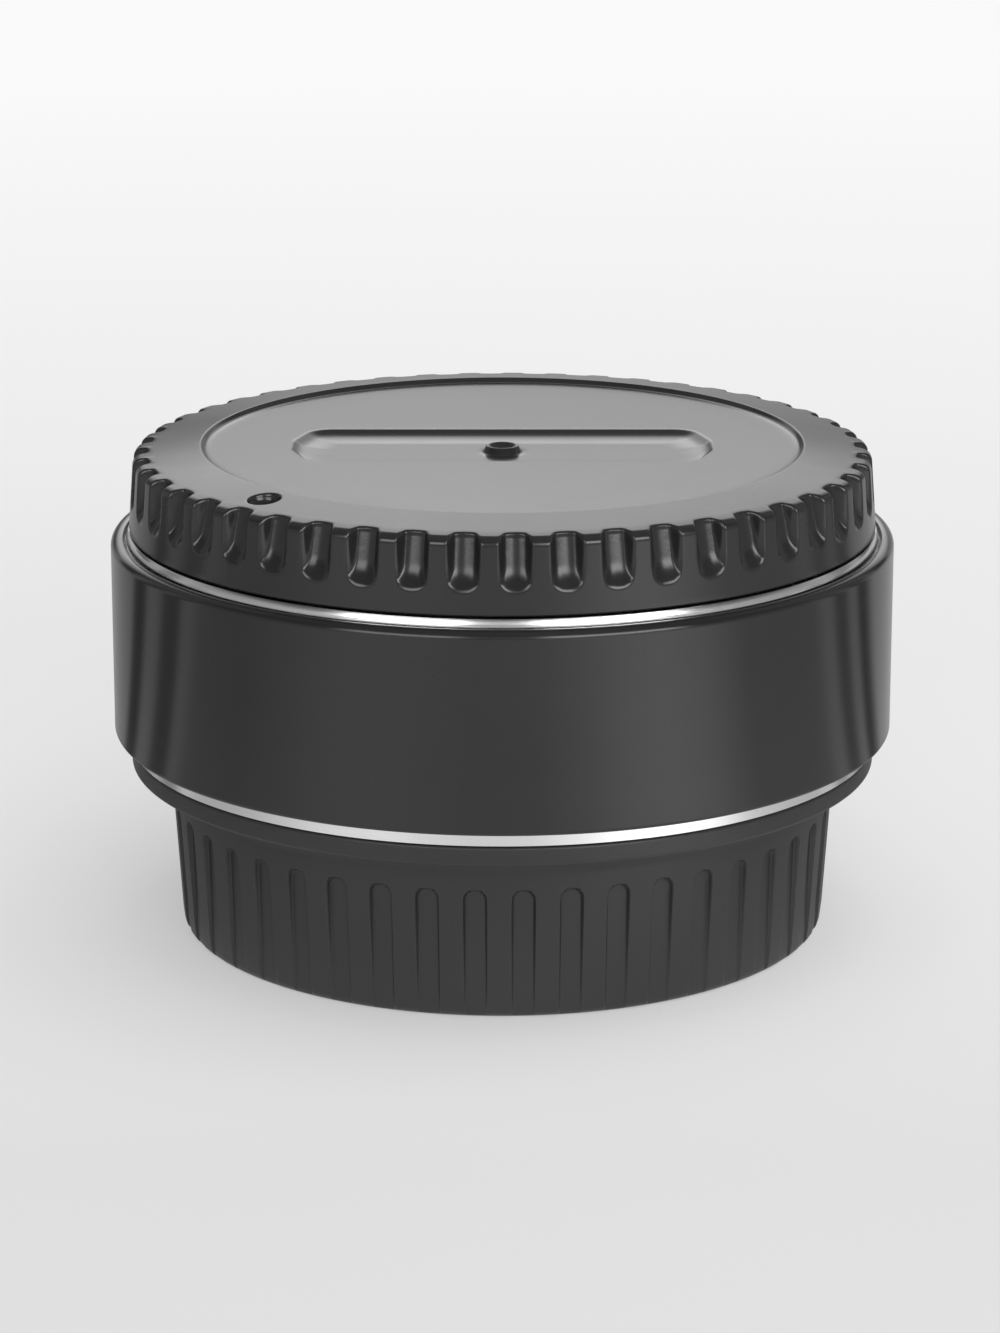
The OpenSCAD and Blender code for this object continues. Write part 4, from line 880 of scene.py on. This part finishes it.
def studio_world():
    """Even light on matt surfaces, a white background for the camera, and a tent in reflections."""
    world = bpy.data.worlds.new("studio_world")
    bpy.context.scene.world = world
    w = Nodes(world)
    calc = w.calc
    place = w.split(w.node("ShaderNodeTexCoord").outputs["Generated"])
    # 0 behind, over the left side and the front to 1 behind again
    turn = calc("ADD", calc("DIVIDE", w.turn(place), 2 * math.pi), 0.5)
    height = calc("MULTIPLY", calc("ARCSINE", place["Z"]), 2 / math.pi)

    def rise(*stops):
        """Ramp over the height above the horizon in degrees."""
        return w.ramp(height, [(degrees / 90, grey(v)) for degrees, v in stops])

    def around(*stops):
        """Ramp over the azimuth in degrees."""
        return w.around(turn, stops)

    front = around((-180, 0.0), (-109.8, 0.0), (-100.8, 1.0), (100.8, 1.0), (109.8, 0.0), (180, 0.0))
    back = around((-180, 1.0), (-158.4, 1.0), (-147.6, 0.0), (147.6, 0.0), (158.4, 1.0), (180, 1.0))
    middle = calc("SUBTRACT", calc("SUBTRACT", 1.0, front), back)
    low = rise((0, 1.0), (6, 1.0), (9, 0.3), (90, 0.15))
    side = rise((0, 1.0), (50, 1.0), (70, 0.12), (90, 0.06))
    falloff = calc("ADD", calc("MULTIPLY", front, low), calc("MULTIPLY", middle, side))
    tent = calc("MULTIPLY", calc("MULTIPLY", around(*TENT), falloff), 2.0)
    # behind: a bright backdrop over a low edge that is darker to the left
    backdrop = calc("MULTIPLY",
                    rise((10.6, 0.0), (16.2, 1.42), (22, 1.34), (30, 1.24), (38, 0.95), (44, 0.22), (75, 0.2),
                         (90, 0.1)),
                    around((-176, 1.0), (-171, 0.65), (-160, 0.5), (160, 0.45), (171, 0.55), (176, 0.96)))
    edge = calc("MULTIPLY",
                rise((0, 1.0), (9, 1.0), (13, 0.0)),
                around((-180, 0.58), (-175, 0.5), (-172, 0.15), (0, 0.1), (150, 0.35), (172, 0.45),
                       (180, 0.58)))
    behind = calc("ADD", calc("MULTIPLY", backdrop, BACKDROP_GAIN), edge)
    tent = calc("ADD", tent, calc("MULTIPLY", back, behind))
    # towards the camera: two broad boxes, and a dim low strip on either side of them
    boxes = calc("MULTIPLY",
                 rise((12, 0.0), (16, 1.0), (30, 1.0), (37, 0.0)),
                 around((-52, 0.0), (-44, 0.7), (-16, 0.7), (-9, 0.08), (9, 0.08), (16, 1.0), (50, 1.0),
                        (58, 0.0)))
    strips = calc("MULTIPLY",
                  rise((5, 0.0), (8, 1.0), (18, 1.0), (22, 0.0)),
                  around((-112, 0.0), (-100, 0.03), (-52, 0.06), (-44, 0.0), (50, 0.0), (58, 0.06),
                         (100, 0.03), (112, 0.0)))
    tent = calc("ADD", tent, calc("MULTIPLY", calc("ADD", boxes, strips), BOX_GAIN))
    # overhead: one even, dim tone
    lid = rise((50, 0.0), (64, 1.0))
    tent = calc("ADD", calc("MULTIPLY", tent, calc("SUBTRACT", 1.0, lid)), calc("MULTIPLY", lid, OVERHEAD))
    studio, even, white = [w.shine("ShaderNodeBackground", colour)
                           for colour in (tent, grey(AMBIENT), grey(BACKGROUND))]
    path = w.node("ShaderNodeLightPath").outputs
    light = w.mix_shader(path["Is Glossy Ray"], even, studio)
    seen = calc("MAXIMUM", path["Is Camera Ray"], path["Is Transmission Ray"])
    w.link(w.mix_shader(seen, light, white), w.node("ShaderNodeOutputWorld").inputs[0])


studio_floor()
studio_world()
lamp("top_softbox", (0.2, -0.08, 0.72), (0, 0, 0.03), (0.8, 0.8), 4.0)
lamp("front_fill", (0.15, -0.8, 0.35), (0, 0, 0.02), (0.6, 0.4), 4.0)

# camera as fitted to the photograph: focal length and long side in its pixels
FOCAL, LONG_SIDE, SENSOR = 4494.3, 1333, 36
camera_data = bpy.data.cameras.new("camera")
camera_data.sensor_width = SENSOR
camera_data.lens = FOCAL / LONG_SIDE * SENSOR
camera_data.clip_start, camera_data.clip_end = 0.01, 20
camera = bpy.data.objects.new("camera", camera_data)
bpy.context.scene.collection.objects.link(camera)
camera.location = (-0.0002, -0.37827, 0.12915)
camera.rotation_euler = (math.radians(74.233), 0, 0)
bpy.context.scene.camera = camera
bpy.context.scene.view_settings.view_transform = "Standard"
